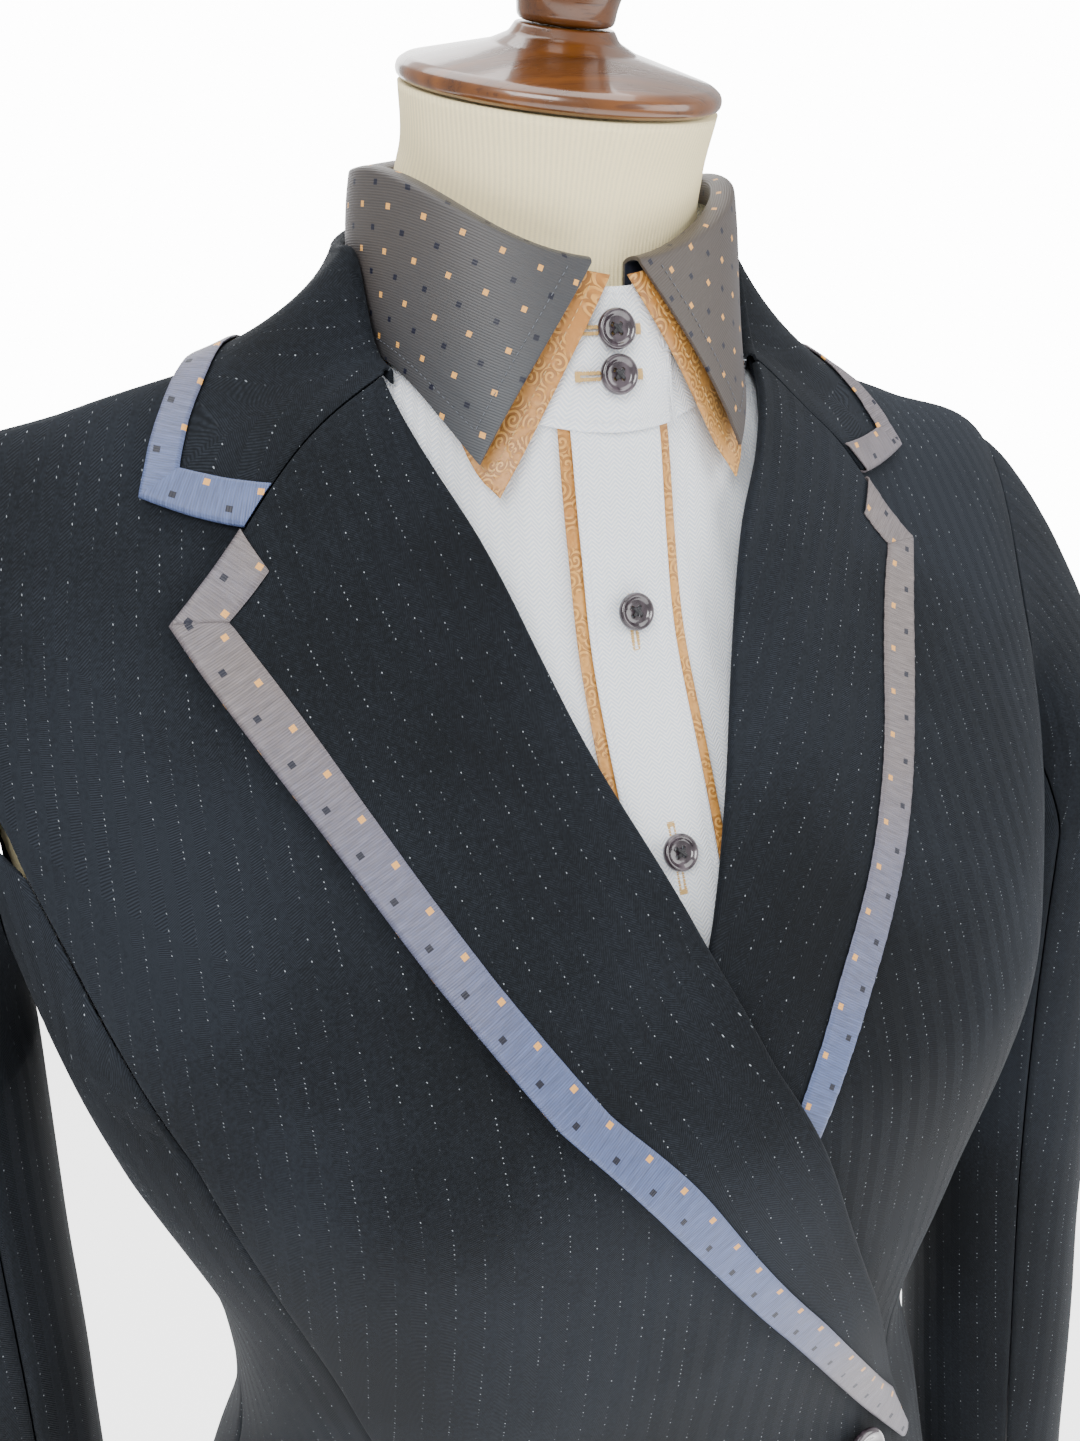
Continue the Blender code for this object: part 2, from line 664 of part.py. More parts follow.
def sleeves():
    gap = SLEEVE_SEAM_GAP
    pieces = {"upper_sleeve": (BACK_SLEEVE_SEAM - 360 + gap, FRONT_SLEEVE_SEAM - gap, 12),
              "under_sleeve": (FRONT_SLEEVE_SEAM + gap, BACK_SLEEVE_SEAM - gap, 6)}
    for side, hand in ((-1, "right"), (1, "left")):
        mirror = Matrix.Diagonal((side, 1, 1))
        for name, (start, end, across) in pieces.items():

            def place(u, v, start=start, end=end, mirror=mirror, side=side):
                return mirror @ sleeve_point(lerp(start, end, u), v, side)

            def outward(centre, side=side):
                return Vector((centre.x - side * 228, centre.y, 0))

            cloth(f"{name}_{hand}", place, across, CROWN_ROWS + 2 * (len(SLEEVE) - 1),
                  JACKET_WALL, WOOL, outward)


# ---------------------------------------------------------------- shirt

SHIRT_LEVELS = [0.0, 0.3, 0.6, 1.0, 1.6, 2.2, 3.0, 3.4, 4.0, 4.7, 5.2, 6.0, 7.0, 8.0, 9.0,
                SHIRT_HEM]
SHIRT_COLUMNS = 6
NECK_DROP = 1.25  # the shirt's top edge lies this far under the stand's


def shirt_angle(level, u, side, gap):
    """Angle at share u of the way round a quarter of the shirt, side 1 front, -1 back."""
    start = 0.0 if side > 0 else 180.0
    end = armhole(level, side) if level < UNDERARM else 90.0
    half = degrees_for(gap, level, 60)
    return lerp(start + side * half, end - side * half, u)


def shirt_body():
    def place(angle_of):
        def at(u, v):
            level = pick(SHIRT_LEVELS, v)
            drop = NECK_DROP * (1 - ease(level / 0.3))
            return body(level, angle_of(u, level), 0.0, "shirt") - Vector((0, 0, drop))
        return at

    for side, hand in ((-1, "right"), (1, "left")):
        cloth(f"shirt_front_{hand}",
              place(lambda u, k, side=side: side * shirt_angle(k, u, 1, SEAM_GAP)),
              SHIRT_COLUMNS, len(SHIRT_LEVELS) - 1, SHIRT_WALL, COTTON)

    def round_back(u, level):
        share = 1 - abs(2 * u - 1)
        angle = shirt_angle(level, 1 - share, -1, SEAM_GAP if share < 0.5 else 0.0)
        return angle if u < 0.5 else 360 - angle

    cloth("shirt_back", place(round_back), 2 * SHIRT_COLUMNS, len(SHIRT_LEVELS) - 1, SHIRT_WALL,
          COTTON)


PLACKET_HALF, PLACKET_TRIM = 15.0, 3.4
PLACKET_LIFT = 2.0
PLACKET_SHIFT = -1.0  # the placket's centre, below the neck
PLACKET_TOP = 0.01  # level of its upper edge, just under the stand


def placket_point(level, x, lift=PLACKET_LIFT):
    ring = body_ring(level, "shirt")
    centre = PLACKET_SHIFT * (1 - ring.shirt_side)
    angle = math.degrees(math.atan2(x + centre, ring.side_y - ring.front_y))
    return body(level, angle, lift, "shirt")


def placket():
    levels = [PLACKET_TOP] + SHIRT_LEVELS[1:]

    def strip(start, end):
        return lambda u, v: placket_point(pick(levels, v), lerp(start, end, u))

    cloth("placket", strip(-PLACKET_HALF, PLACKET_HALF), 2, len(levels) - 1, SHIRT_WALL, COTTON)
    near, far = PLACKET_HALF + 0.7, PLACKET_HALF + 0.7 + PLACKET_TRIM
    for side, hand in ((-1, "right"), (1, "left")):
        cloth(f"placket_trim_{hand}", strip(side * far, side * near), 1, len(levels) - 1,
              SHIRT_WALL, COPPER)


def stand_point(u, v):
    """The collar stand: u 0 at its seam, v from the hidden left end to the lapped right end."""
    end = 360.0 + STAND_OVERLAP
    angle = lerp(STAND_START, end, v)
    shift = opening_shift(angle)
    low = ring_point(STAND_SEAM, angle, NECK_POWER) + shift
    high = ring_point(STAND_TOP, angle, NECK_POWER) + shift
    from_end = math.radians(end - angle) * STAND_REACH
    cut = 0.0
    if from_end < STAND_CORNER:
        short = STAND_CORNER - from_end
        cut = STAND_CORNER - math.sqrt(max(0.0, STAND_CORNER ** 2 - short ** 2))
    height = 1 - cut / (high - low).length
    lap = STAND_LAP * ease((angle - 335) / 28)
    return lerp(low, high, u * height) + radial(low) * lap


def leaf_fall(share, u, sign, out=0.0, longer=0.0):
    """A collar leaf outside its fold: share 0 at the front end, u 1 at the free edge."""
    top_angle = lerp(LEAF_TOP_START, 180, share)
    edge_angle = lerp(LEAF_TIP_ANGLE, 180, share)
    top = ring_point(LEAF_TOP, sign * top_angle, NECK_POWER) + opening_shift(top_angle)
    edge = ring_point(LEAF_EDGE, sign * edge_angle, NECK_POWER) + opening_shift(edge_angle)
    reach = (edge - top).length
    at = lerp(top, edge, u * (1 + longer / reach))
    bow = LEAF_BOW * 4 * u * (1 - u)
    return at + radial(at) * (bow + out)


def shirt_collar():
    cloth("collar_stand", stand_point, 3, 26, SHIRT_WALL, COTTON, radial)
    rows = [0, 0.03, 0.08, 0.16, 0.26, 0.38, 0.52, 0.68, 0.84, 1.0]
    both = [s / 2 for s in rows] + [1 - s / 2 for s in reversed(rows[:-1])]

    def split(v):
        return (-1 if v < 0.5 else 1), 1 - abs(2 * v - 1)

    def leaf(u, v):
        sign, share = split(v)
        if u >= 0:
            return leaf_fall(share, u, sign)
        outer = leaf_fall(share, 0, sign)
        top_angle = lerp(LEAF_TOP_START, 180, share)
        inner = ring_point(STAND_TOP, sign * top_angle, NECK_POWER) + opening_shift(top_angle)
        inner -= radial(inner) * LIP_IN
        if u == -1:
            return (outer + inner) / 2 + Vector((0, 0, 3.0))
        inner.z = outer.z - 0.5
        return inner if u == -2 else inner - Vector((0, 0, LIP_DEPTH))

    cloth("shirt_collar", leaf, [-3, -2, -1, 0, 0.35, 0.7, 1], both, SHIRT_WALL, COLLAR_BROCADE,
          lambda c: radial(c) + Vector((0, 0, 0.3)))

    def border(u, v):
        sign, share = split(v)
        shown = 1 - ease((share - 0.02) / 0.12)
        at = leaf_fall(share, lerp(0.06, 1, u), sign, -2.1,
                       lerp(-4.0, BORDER, shown) if u > 0.9 else 0.0)
        front = lerp(*BORDER_FRONT, u) * (1 - ease(share / 0.16))
        return at + Vector((-sign, 0, 0)) * front

    cloth("collar_border", border, [0, 0.35, 0.7, 1], both, SHIRT_WALL, COPPER, radial)


def button(name, size, at, facing, finish=HORN):
    radius, thick = size
    profile = [(0, 0), (radius * 0.8, 0), (radius, thick * 0.45), (radius * 0.97, thick * 0.85),
               (radius * 0.84, thick), (radius * 0.66, thick * 0.72), (0, thick * 0.66)]
    obj = turned(name, profile, 14, finish, at)
    obj.rotation_euler = facing.to_track_quat("Z", "Y").to_euler()
    return obj


def buttons():
    for number, share in enumerate(STAND_BUTTONS, 1):
        at = stand_point(share, (360 - STAND_START) / (360 - STAND_START + STAND_OVERLAP))
        facing = radial(at) + Vector((0, 0, 0.15))
        button(f"shirt_button_{number}", SHIRT_BUTTON, at + facing.normalized() * BUTTON_GAP,
               facing)
    for number, level in enumerate(PLACKET_BUTTONS, 3):
        at = placket_point(level, 0)
        facing = placket_point(level, 0, PLACKET_LIFT + 5) - at
        button(f"shirt_button_{number}", SHIRT_BUTTON,
               at + facing.normalized() * (BUTTON_GAP + 0.2), facing)
    level, angle = JACKET_BUTTON_AT
    at = body(level, angle, right_lift(level, angle))
    facing = body(level, angle, 10) - body(level, angle, 5)
    button("jacket_button", JACKET_BUTTON, at + facing.normalized() * 1.2, facing)


# ---------------------------------------------------------------- dress form

def form_body():
    """Torso and neck in one closed skin, flat under the hips and at the top of the neck."""
    bottom = FORM_BOTTOM

    def angle_at(u, level):
        """Columns as the shirt's, front and back, joined across the armhole."""
        count = 2 * (2 * SHIRT_COLUMNS + 2)
        column = round(u * count)
        mirrored = min(column, count - column)
        side, share = 1, mirrored / SHIRT_COLUMNS
        if mirrored > SHIRT_COLUMNS + 1:
            side, share = -1, (count / 2 - mirrored) / SHIRT_COLUMNS
        if mirrored == SHIRT_COLUMNS + 1:
            angle = 90.0
        elif share == 0:
            angle = 0.0 if side > 0 else 180.0
        else:
            angle = shirt_angle(level, share, side, SEAM_GAP)
        return angle if column <= count // 2 else 360 - angle

    rows = [("neck", ring) for ring in FORM_NECK[:-1]]
    rows += [("torso", level) for level in [0.0, *SHIRT_LEVELS[1:], bottom]]
    rows += [("foot", 0.97), ("foot", 0.9)]

    def place(u, v):
        kind, row = rows[round(v * (len(rows) - 1))]
        if kind == "neck":
            return level_ring_point(row, angle_at(u, 0.0))
        if kind == "torso":
            return body(row, angle_at(u, row), 0.0, "form")
        edge = body(bottom, angle_at(u, bottom), 0.0, "form")
        drop = FORM_FOOT * (0.5 if row > 0.95 else 1.0)
        return Vector((edge.x * row, edge.y * row, edge.z - drop))

    made = grid_mesh("form_body", place, 2 * (2 * SHIRT_COLUMNS + 2), len(rows) - 1)
    bm = bmesh.new()
    bm.from_mesh(made)
    bmesh.ops.remove_doubles(bm, verts=bm.verts, dist=0.02 * MM)
    rim = [e for e in bm.edges if e.is_boundary]
    bmesh.ops.holes_fill(bm, edges=rim, sides=0)
    bmesh.ops.recalc_face_normals(bm, faces=bm.faces)
    bm.to_mesh(made)
    bm.free()
    add("form_body", made, JERSEY, 60)


def stand():
    cap = turned("neck_cap", CAP_PROFILE, 24, WOOD, CAP_CENTRE, CAP_TILT)
    up = cap.rotation_euler.to_matrix() @ Vector((0, 0, 1))
    turned("finial", FINIAL_PROFILE, 16, WOOD, CAP_CENTRE + up * (CAP_PROFILE[-1][1] + 0.3),
           CAP_TILT)
    base_top = BASE_PROFILE[-1][1] + 0.3
    length = body_ring(FORM_BOTTOM, "form").front_z - FORM_FOOT - 0.3 - base_top
    turned("stand_pole", [(0, 0), (POLE_RADIUS, 0), (POLE_RADIUS, length), (0, length)], 16,
           STEEL, Vector((0, 0, base_top)))
    turned("stand_base", BASE_PROFILE, 32, WOOD, Vector((0, 0, 0)))


def main():
    clear_scene()
    jacket_body()
    lapels()
    collar()
    sleeves()
    shirt_body()
    placket()
    shirt_collar()
    buttons()
    form_body()
    stand()


main()
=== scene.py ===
"""Showmanship suit jacket and its matching shirt on a dress form: cloth, trims and studio.

Sizes are in millimetres in the classes and become metres in the meshes. +Z is up, the wearer
faces -Y and +X is the wearer's left. A place on the torso is a level, which is a row of the
ring table or a fraction between two rows, and an angle in degrees round from centre front,
positive towards the wearer's left.
"""

import sys
import logging  # noqa: E402
import math  # noqa: E402
from dataclasses import dataclass, field  # noqa: E402
from enum import Enum  # noqa: E402
from functools import lru_cache  # noqa: E402
from typing import Callable, ClassVar, NamedTuple, Sequence  # noqa: E402

import bmesh  # noqa: E402
import bpy  # noqa: E402
from mathutils import Matrix, Vector, noise  # noqa: E402


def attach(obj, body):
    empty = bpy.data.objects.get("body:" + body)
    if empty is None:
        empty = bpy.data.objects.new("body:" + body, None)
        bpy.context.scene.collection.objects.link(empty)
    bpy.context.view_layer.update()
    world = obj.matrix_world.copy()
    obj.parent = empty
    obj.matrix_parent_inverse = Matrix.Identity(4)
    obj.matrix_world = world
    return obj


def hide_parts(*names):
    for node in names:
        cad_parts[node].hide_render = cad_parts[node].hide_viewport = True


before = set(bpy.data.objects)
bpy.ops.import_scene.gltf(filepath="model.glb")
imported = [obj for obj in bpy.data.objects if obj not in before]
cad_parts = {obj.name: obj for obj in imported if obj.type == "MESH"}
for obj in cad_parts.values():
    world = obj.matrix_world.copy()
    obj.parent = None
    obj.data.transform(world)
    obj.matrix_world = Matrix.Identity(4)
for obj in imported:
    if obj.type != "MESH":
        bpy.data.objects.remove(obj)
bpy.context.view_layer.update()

LOG = logging.getLogger("suit")
MM = 0.001
UP = Vector((0, 0, 1))
WEAVE = "weave"
# Name of each point's share of painted sheen on the brocade pieces: how far its colour runs to the
# bluer colour that shot silk shows at some angles of light.
PAINTED_SHEEN = "tone"
MIN_FLAT = 10.5  # the narrowest width that a sheet's size is reckoned with, in mm

Place = Callable[[float, float], Vector]
Socket = bpy.types.NodeSocket
Colour = tuple[float, float, float]


class Side(Enum):
    """A side of the wearer, as the sign of its X."""

    RIGHT = -1
    LEFT = 1

    @property
    def hand(self) -> str:
        """The side's word in piece names."""
        return self.name.lower()


class Layer(Enum):
    """The skins of the torso, outside in."""

    JACKET = "jacket"
    SHIRT = "shirt"
    FORM = "form"


class Held(Enum):
    """How a sheet of cloth is held."""

    HUNG = "hung"
    FOLDED = "folded"


# ---------------------------------------------------------------- numbers and curves

def lerp(a, b, t: float):
    """The value at share t of the way from a to b."""
    return a + (b - a) * t


def ease(t: float) -> float:
    """0 to 1 with level ends, clamped."""
    t = min(1.0, max(0.0, t))
    return t * t * (3 - 2 * t)


def along(table: Sequence[Sequence[float]], x: float, column: int = 1) -> float:
    """Reads a table of rows at x, its first column, in straight steps.

    Args:
        table: Rows in rising order of their first value.
        x: Where to read it.
        column: The value to read.

    Returns:
        The value, held level past either end.
    """
    if x <= table[0][0]:
        return table[0][column]
    for low, high in zip(table, table[1:]):
        if x <= high[0]:
            return lerp(low[column], high[column], (x - low[0]) / (high[0] - low[0]))
    return table[-1][column]


def softly(table: Sequence[Sequence[float]], x: float, reach: float = 0.12) -> float:
    """As along, with its corners rounded over a reach each side."""
    reach = min(reach, x - table[0][0], table[-1][0] - x) if table[0][0] < x < table[-1][0] else 0
    return sum(along(table, x + reach * s) * w for s, w in ((-1, 1), (-0.5, 2), (0, 2), (0.5, 2),
                                                            (1, 1))) / 8


def curve(rows: Sequence[Sequence[float]], place: float) -> list[float]:
    """Smooth curve through the rows, read at a row number that may be a fraction.

    Args:
        rows: The rows to pass through.
        place: Row number.

    Returns:
        The values there.
    """
    last = len(rows) - 1
    low = min(last - 1, max(0, math.floor(place)))
    t = place - low

    def row(i: int) -> Sequence[float]:
        """A row, or one past an end carried straight on."""
        if i < 0:
            return [2 * a - b for a, b in zip(rows[0], rows[1])]
        if i > last:
            return [2 * a - b for a, b in zip(rows[last], rows[last - 1])]
        return rows[i]

    near = zip(row(low - 1), row(low), row(low + 1), row(low + 2))
    return [b + 0.5 * t * (c - a + t * (2 * a - 5 * b + 4 * c - d + t * (3 * (b - c) + d - a)))
            for a, b, c, d in near]


def polyline(points: Sequence[Sequence[float]], t: float) -> list[float]:
    """The values at share t of a list of points, in straight steps."""
    place = t * (len(points) - 1)
    low = min(len(points) - 2, int(place))
    return [lerp(a, b, place - low) for a, b in zip(points[low], points[low + 1])]


def shares(length: float, step: float, rim: Sequence[float] = (0.5, 1.1, 1.9, 3.0),
           ends: tuple[bool, bool] = (True, True)) -> list[float]:
    """Shares across a sheet, close together at the ends where its edge rolls.

    Args:
        length: The sheet's size that way, in mm.
        step: Size of the steps in its middle.
        rim: Distances from an edge that get a step of their own.
        ends: Whether the start and the end have such a rim.

    Returns:
        Rising shares from 0 to 1.
    """
    first = [d / length for d in rim] if ends[0] else []
    last = [1 - d / length for d in reversed(rim)] if ends[1] else []
    start, stop = (first or [0.0])[-1], (last or [1.0])[0]
    count = max(1, math.ceil((stop - start) * length / step))
    middle = [lerp(start, stop, t) for t in evenly(count)]
    return sorted({0.0, 1.0, *first, *middle, *last})


def evenly(count: int) -> list[float]:
    """Shares from 0 to 1 in even steps."""
    return [i / count for i in range(count + 1)]


def running(points: Sequence[Vector]) -> list[float]:
    """Distance along a line of points, at each of them."""
    marks = [0.0]
    for a, b in zip(points, points[1:]):
        marks.append(marks[-1] + (b - a).length)
    return marks


def halves(v: float) -> tuple[int, float]:
    """Side of the wearer and share towards the back, at share v round from the right front."""
    return (-1 if v < 0.5 else 1), 1 - abs(2 * v - 1)


def tuck(distance: float, depth: float = 0.8, reach: float = 2.2) -> float:
    """How far cloth rolls in at a distance from its seam."""
    return -depth * max(0.0, 1 - distance / reach) ** 2


def ripple(at: Vector, size: float, height: float, seed: float = 0.0) -> float:
    """The unevenness of hanging cloth: smooth noise over a size, in mm."""
    return noise.noise(Vector((at.x, at.y, at.z * 0.6)) / size + Vector((seed, 0, 0))) * height


# ---------------------------------------------------------------- the torso

class Ring(NamedTuple):
    """One closed line round the neck or torso, which may rise or fall towards the sides."""

    front_z: float
    side_z: float
    back_z: float
    half_width: float
    front_y: float
    back_y: float
    side_y: float
    front_power: float
    back_power: float
    shirt_side: float = 0.0
    shirt_depth: float = 0.0
    left_drop: float = 0.0

    def point(self, angle: float, rise_power: float) -> Vector:
        """Where the ring is at an angle from centre front.

        Args:
            angle: Degrees towards the wearer's left.
            rise_power: How late the ring climbs to its side height.

        Returns:
            The point, in mm.
        """
        s, c = math.sin(math.radians(angle)), math.cos(math.radians(angle))
        front = c >= 0
        depth = self.side_y - self.front_y if front else self.back_y - self.side_y
        power = self.front_power if front else self.back_power
        reach = (abs(s / self.half_width) ** power + abs(c / depth) ** power) ** (-1 / power)
        rise = abs(reach * s / self.half_width) ** rise_power
        end_z = self.front_z if front else self.back_z
        side_z = self.side_z - (self.left_drop if s > 0 else 0.0)
        return Vector((reach * s, self.side_y - reach * c, lerp(end_z, side_z, rise)))

    def flat_point(self, angle: float) -> Vector:
        """The same for a ring whose front and back halves are each flat."""
        at = self.point(angle, 2.0)
        end_y, end_z = ((self.front_y, self.front_z) if at.y < self.side_y
                        else (self.back_y, self.back_z))
        at.z = lerp(self.side_z, end_z, (at.y - self.side_y) / (end_y - self.side_y))
        return at


@dataclass
class Torso:
    """The padded torso that the form, the shirt and the jacket all follow."""

    rings: tuple[Ring, ...] = (
        Ring(1402, 1435, 1446, 66, -47, 62, 10, 2.0, 2.0, 8.0, 8.0),
        Ring(1376, 1431, 1404, 102, -52, 82, 15, 1.9, 2.0, 3.5, 8.0),
        Ring(1344, 1419, 1362, 148, -60, 98, 18, 1.7, 2.1, 2.6, 8.0),
        Ring(1304, 1400, 1316, 196, -77, 107, 18, 1.7, 2.4, 3.0, 8.0),
        Ring(1264, 1340, 1285, 200, -94, 110, 13, 2.2, 2.7, 6.0, 8.0),
        Ring(1230, 1262, 1250, 186, -109, 106, 5, 2.9, 2.5, 7.0, 8.0),
        Ring(1198, 1208, 1205, 171, -117, 97, 0, 3.2, 2.2, 7.0, 8.0),
        Ring(1135, 1138, 1138, 145, -113, 86, -4, 3.0, 2.1, 7.0, 8.0),
        Ring(1065, 1065, 1065, 138, -104, 80, -8, 2.4, 2.1, 7.0, 8.0),
        Ring(1000, 1000, 1000, 156, -111, 100, -6, 2.2, 2.2, 7.0, 8.0),
        Ring(925, 925, 925, 170, -120, 118, -4, 2.2, 2.2, 8.0, 8.0),
        Ring(835, 835, 835, 184, -128, 128, -2, 2.2, 2.2, 8.0, 8.0),
    )
    ridge_power: float = 3.5
    yoke_power: float = 2.4
    neck_power: float = 2.0
    neck: float = 0.12
    shoulder_tip: float = 3.0
    underarm: float = 5.2
    hem: float = 11.0
    form_side: float = 2.0
    form_depth: float = 4.0
    stand_seam: Ring = Ring(1412, 1430, 1441, 57, -44.5, 55, 8, 2.0, 2.0)
    form_seam: Ring = Ring(1407, 1426.5, 1437, 54.4, -40.0, 51.2, 8, 2.0, 2.0)
    opening_x: float = -4.0
    armhole_spread: float = 13.0
    drop: float = 9.0  # the wearer's left shoulder hangs this much lower

    def __post_init__(self) -> None:
        """Keeps each level's ring once it is worked out."""
        self.ring = lru_cache(maxsize=None)(self._ring)

    def _ring(self, level: float, layer: Layer) -> Ring:
        """The ring of a layer at a level."""
        dropped = self.drop * ease(level) * ease((self.underarm - level) / 2.2)
        ring = Ring(*curve(self.rings, level))._replace(left_drop=dropped)
        if layer is Layer.JACKET:
            return ring
        side, depth = ring.shirt_side, ring.shirt_depth
        if layer is Layer.FORM:
            side, depth = side + self.form_side, depth + self.form_depth
        top = min(1.0, max(0.0, (4.5 - level) / 1.5))
        ring = ring._replace(half_width=ring.half_width - side, front_y=ring.front_y + depth,
                             back_y=ring.back_y - depth, side_z=ring.side_z - side * top,
                             back_z=ring.back_z - 0.4 * depth * top)
        seam = self.form_seam if layer is Layer.FORM else self.stand_seam
        near = 1 - ease(level / 0.9)
        return Ring(*[lerp(a, b, near) for a, b in zip(ring, seam)])._replace(shirt_side=near)

    def opening_shift(self, angle: float) -> Vector:
        """How far the neck opening stands to the wearer's right, fading round the neck."""
        turn = abs((angle + 180) % 360 - 180)
        return Vector((self.opening_x * ease((70 - turn) / 55), 0, 0))

    def skin(self, level: float, angle: float, layer: Layer) -> Vector:
        """A point of a layer, which near the neck follows the collar stand's seam."""
        ring = self.ring(level, layer)
        front = math.cos(math.radians(angle)) >= 0
        at = ring.point(angle, self.ridge_power if front else self.yoke_power)
        if layer is Layer.JACKET or ring.shirt_side <= 0:
            return at
        seamed = ring.point(angle, self.neck_power)
        return lerp(at, seamed, ring.shirt_side) + self.opening_shift(angle) * ring.shirt_side

    def normal(self, level: float, angle: float, layer: Layer = Layer.JACKET) -> Vector:
        """Which way a layer looks at a place."""
        step_level, step_angle = 0.02, 0.4
        down = (self.skin(level + step_level, angle, layer)
                - self.skin(level - step_level, angle, layer))
        side = (self.skin(level, angle + step_angle, layer)
                - self.skin(level, angle - step_angle, layer))
        return down.cross(side).normalized()

    def at(self, level: float, angle: float, lift: float = 0.0,
           layer: Layer = Layer.JACKET) -> Vector:
        """A point of the torso, moved out by lift along the layer's normal.

        Args:
            level: Row of the ring table.
            angle: Degrees from centre front.
            lift: Distance off the layer, in mm.
            layer: Which skin.

        Returns:
            The point, in mm.
        """
        at = self.skin(level, angle, layer)
        return at + self.normal(level, angle, layer) * lift if lift else at

    def degrees(self, width: float, level: float, angle: float) -> float:
        """The angle that a width takes up."""
        return math.degrees(width / max(30.0, self.skin(level, angle, Layer.JACKET).xy.length))

    def armhole(self, level: float, side: int) -> float:
        """Angle of the armhole's edge, side 1 in front and -1 behind."""
        t = (level - self.shoulder_tip) / (self.underarm - self.shoulder_tip)
        if t <= 0 or t >= 1:
            return 90.0
        return 90.0 - side * self.armhole_spread * math.sin(math.pi * t) ** 0.7

    def levels(self, start: float, stop: float, step: float) -> list[float]:
        """Levels from start to stop about a step apart on the body.

        Args:
            start: First level.
            stop: Last level.
            step: Distance wanted between them, in mm.

        Returns:
            The rising levels.
        """
        found, level = [start], start
        while level < stop:
            longest = max((self.skin(level + 0.1, angle, Layer.JACKET)
                           - self.skin(level, angle, Layer.JACKET)).length for angle in (0, 75))
            level += 0.1 * step / longest
            found.append(min(level, stop))
        return found


# ---------------------------------------------------------------- node graphs

class Graph:
    """Lays shader nodes in one node tree."""

    def __init__(self, tree: bpy.types.NodeTree) -> None:
        """Takes the tree that the nodes go into."""
        self.tree = tree

    def node(self, kind: str, **settings: object) -> bpy.types.Node:
        """Adds a node of a kind with its settings."""
        made = self.tree.nodes.new(kind)
        for key, value in settings.items():
            setattr(made, key, value)
        return made

    def feed(self, value: object, socket: Socket) -> None:
        """Sets a socket to a number or colour, or links another socket to it."""
        if isinstance(value, bpy.types.NodeSocket):
            self.tree.links.new(value, socket)
        elif isinstance(value, tuple) and len(value) == 3 and socket.type == "RGBA":
            socket.default_value = (*value, 1)
        else:
            socket.default_value = value

    def math(self, operation: str, *values: object) -> Socket:
        """A Math node's result.

        Args:
            operation: The node's operation.
            *values: Up to three numbers or sockets.

        Returns:
            The output socket.
        """
        made = self.node("ShaderNodeMath", operation=operation)
        for value, socket in zip(values, made.inputs):
            self.feed(value, socket)
        return made.outputs[0]

    def plus(self, first: object, second: object) -> Socket:
        """Their sum."""
        return self.math("ADD", first, second)

    def minus(self, first: object, second: object) -> Socket:
        """Their difference."""
        return self.math("SUBTRACT", first, second)

    def times(self, first: object, second: object) -> Socket:
        """Their product."""
        return self.math("MULTIPLY", first, second)

    def over(self, first: object, second: object) -> Socket:
        """The first divided by the second."""
        return self.math("DIVIDE", first, second)

    def fit(self, value: object, gain: float, start: float) -> Socket:
        """The value times a gain, added to a start."""
        return self.math("MULTIPLY_ADD", value, gain, start)

    def wave(self, value: Socket, pitch: object) -> Socket:
        """A wave of the value from 0 to 1, once in each pitch."""
        return self.fit(self.math("SINE", self.times(self.over(value, pitch), math.tau)), 0.5, 0.5)

    def smooth(self, value: Socket, start: object, stop: object) -> Socket:
        """0 at start rising smoothly to 1 at stop."""
        made = self.node("ShaderNodeMapRange", interpolation_type="SMOOTHSTEP")
        for item, socket in zip((value, start, stop), made.inputs):
            self.feed(item, socket)
        return made.outputs[0]

    def mix(self, factor: object, first: object, second: object, blend: str = "MIX") -> Socket:
        """A colour between two.

        Args:
            factor: Share of the second.
            first: Colour or socket.
            second: Colour or socket.
            blend: How they mix.

        Returns:
            The colour socket.
        """
        made = self.node("ShaderNodeMix", data_type="RGBA", blend_type=blend)
        self.feed(factor, made.inputs[0])
        self.feed(first, made.inputs[6])
        self.feed(second, made.inputs[7])
        return made.outputs[2]

    def split(self, vector: Socket) -> tuple[Socket, Socket]:
        """The X and Y of a vector."""
        made = self.node("ShaderNodeSeparateXYZ")
        self.feed(vector, made.inputs[0])
        return made.outputs[0], made.outputs[1]

    def noise(self, vector: Socket, scale: float, detail: float = 2.0) -> Socket:
        """Smooth noise, 0 to 1."""
        made = self.node("ShaderNodeTexNoise")
        self.feed(vector, made.inputs["Vector"])
        made.inputs["Scale"].default_value = scale
        made.inputs["Detail"].default_value = detail
        return made.outputs["Fac"]

    def use(self, group: bpy.types.NodeTree, **values: object) -> dict[str, Socket]:
        """Places a node group.

        Args:
            group: The group's tree.
            **values: Its inputs by name, with _ for a space.

        Returns:
            Its outputs by name.
        """
        made = self.node("ShaderNodeGroup", node_tree=group)
        for key, value in values.items():
            self.feed(value, made.inputs[key.replace("_", " ")])
        return {out.name: out for out in made.outputs}

    def mapped(self, vector: Socket, scale: float = 1.0, turn: float = 0.0,
               stretch: tuple[float, float, float] = (1, 1, 1)) -> Socket:
        """A vector scaled, stretched and turned about Z by a Mapping node."""
        made = self.node("ShaderNodeMapping")
        self.feed(vector, made.inputs["Vector"])
        made.inputs["Rotation"].default_value = (0, 0, math.radians(turn))
        made.inputs["Scale"].default_value = tuple(scale * s for s in stretch)
        return made.outputs[0]

    def weave(self) -> Socket:
        """The piece's own cloth coordinates, in mm: X across the warp, Y along it."""
        return self.mapped(self.node("ShaderNodeUVMap", uv_map=WEAVE).outputs[0], 1000)

    def place(self) -> Socket:
        """Object coordinates, in metres."""
        return self.node("ShaderNodeTexCoord").outputs["Object"]


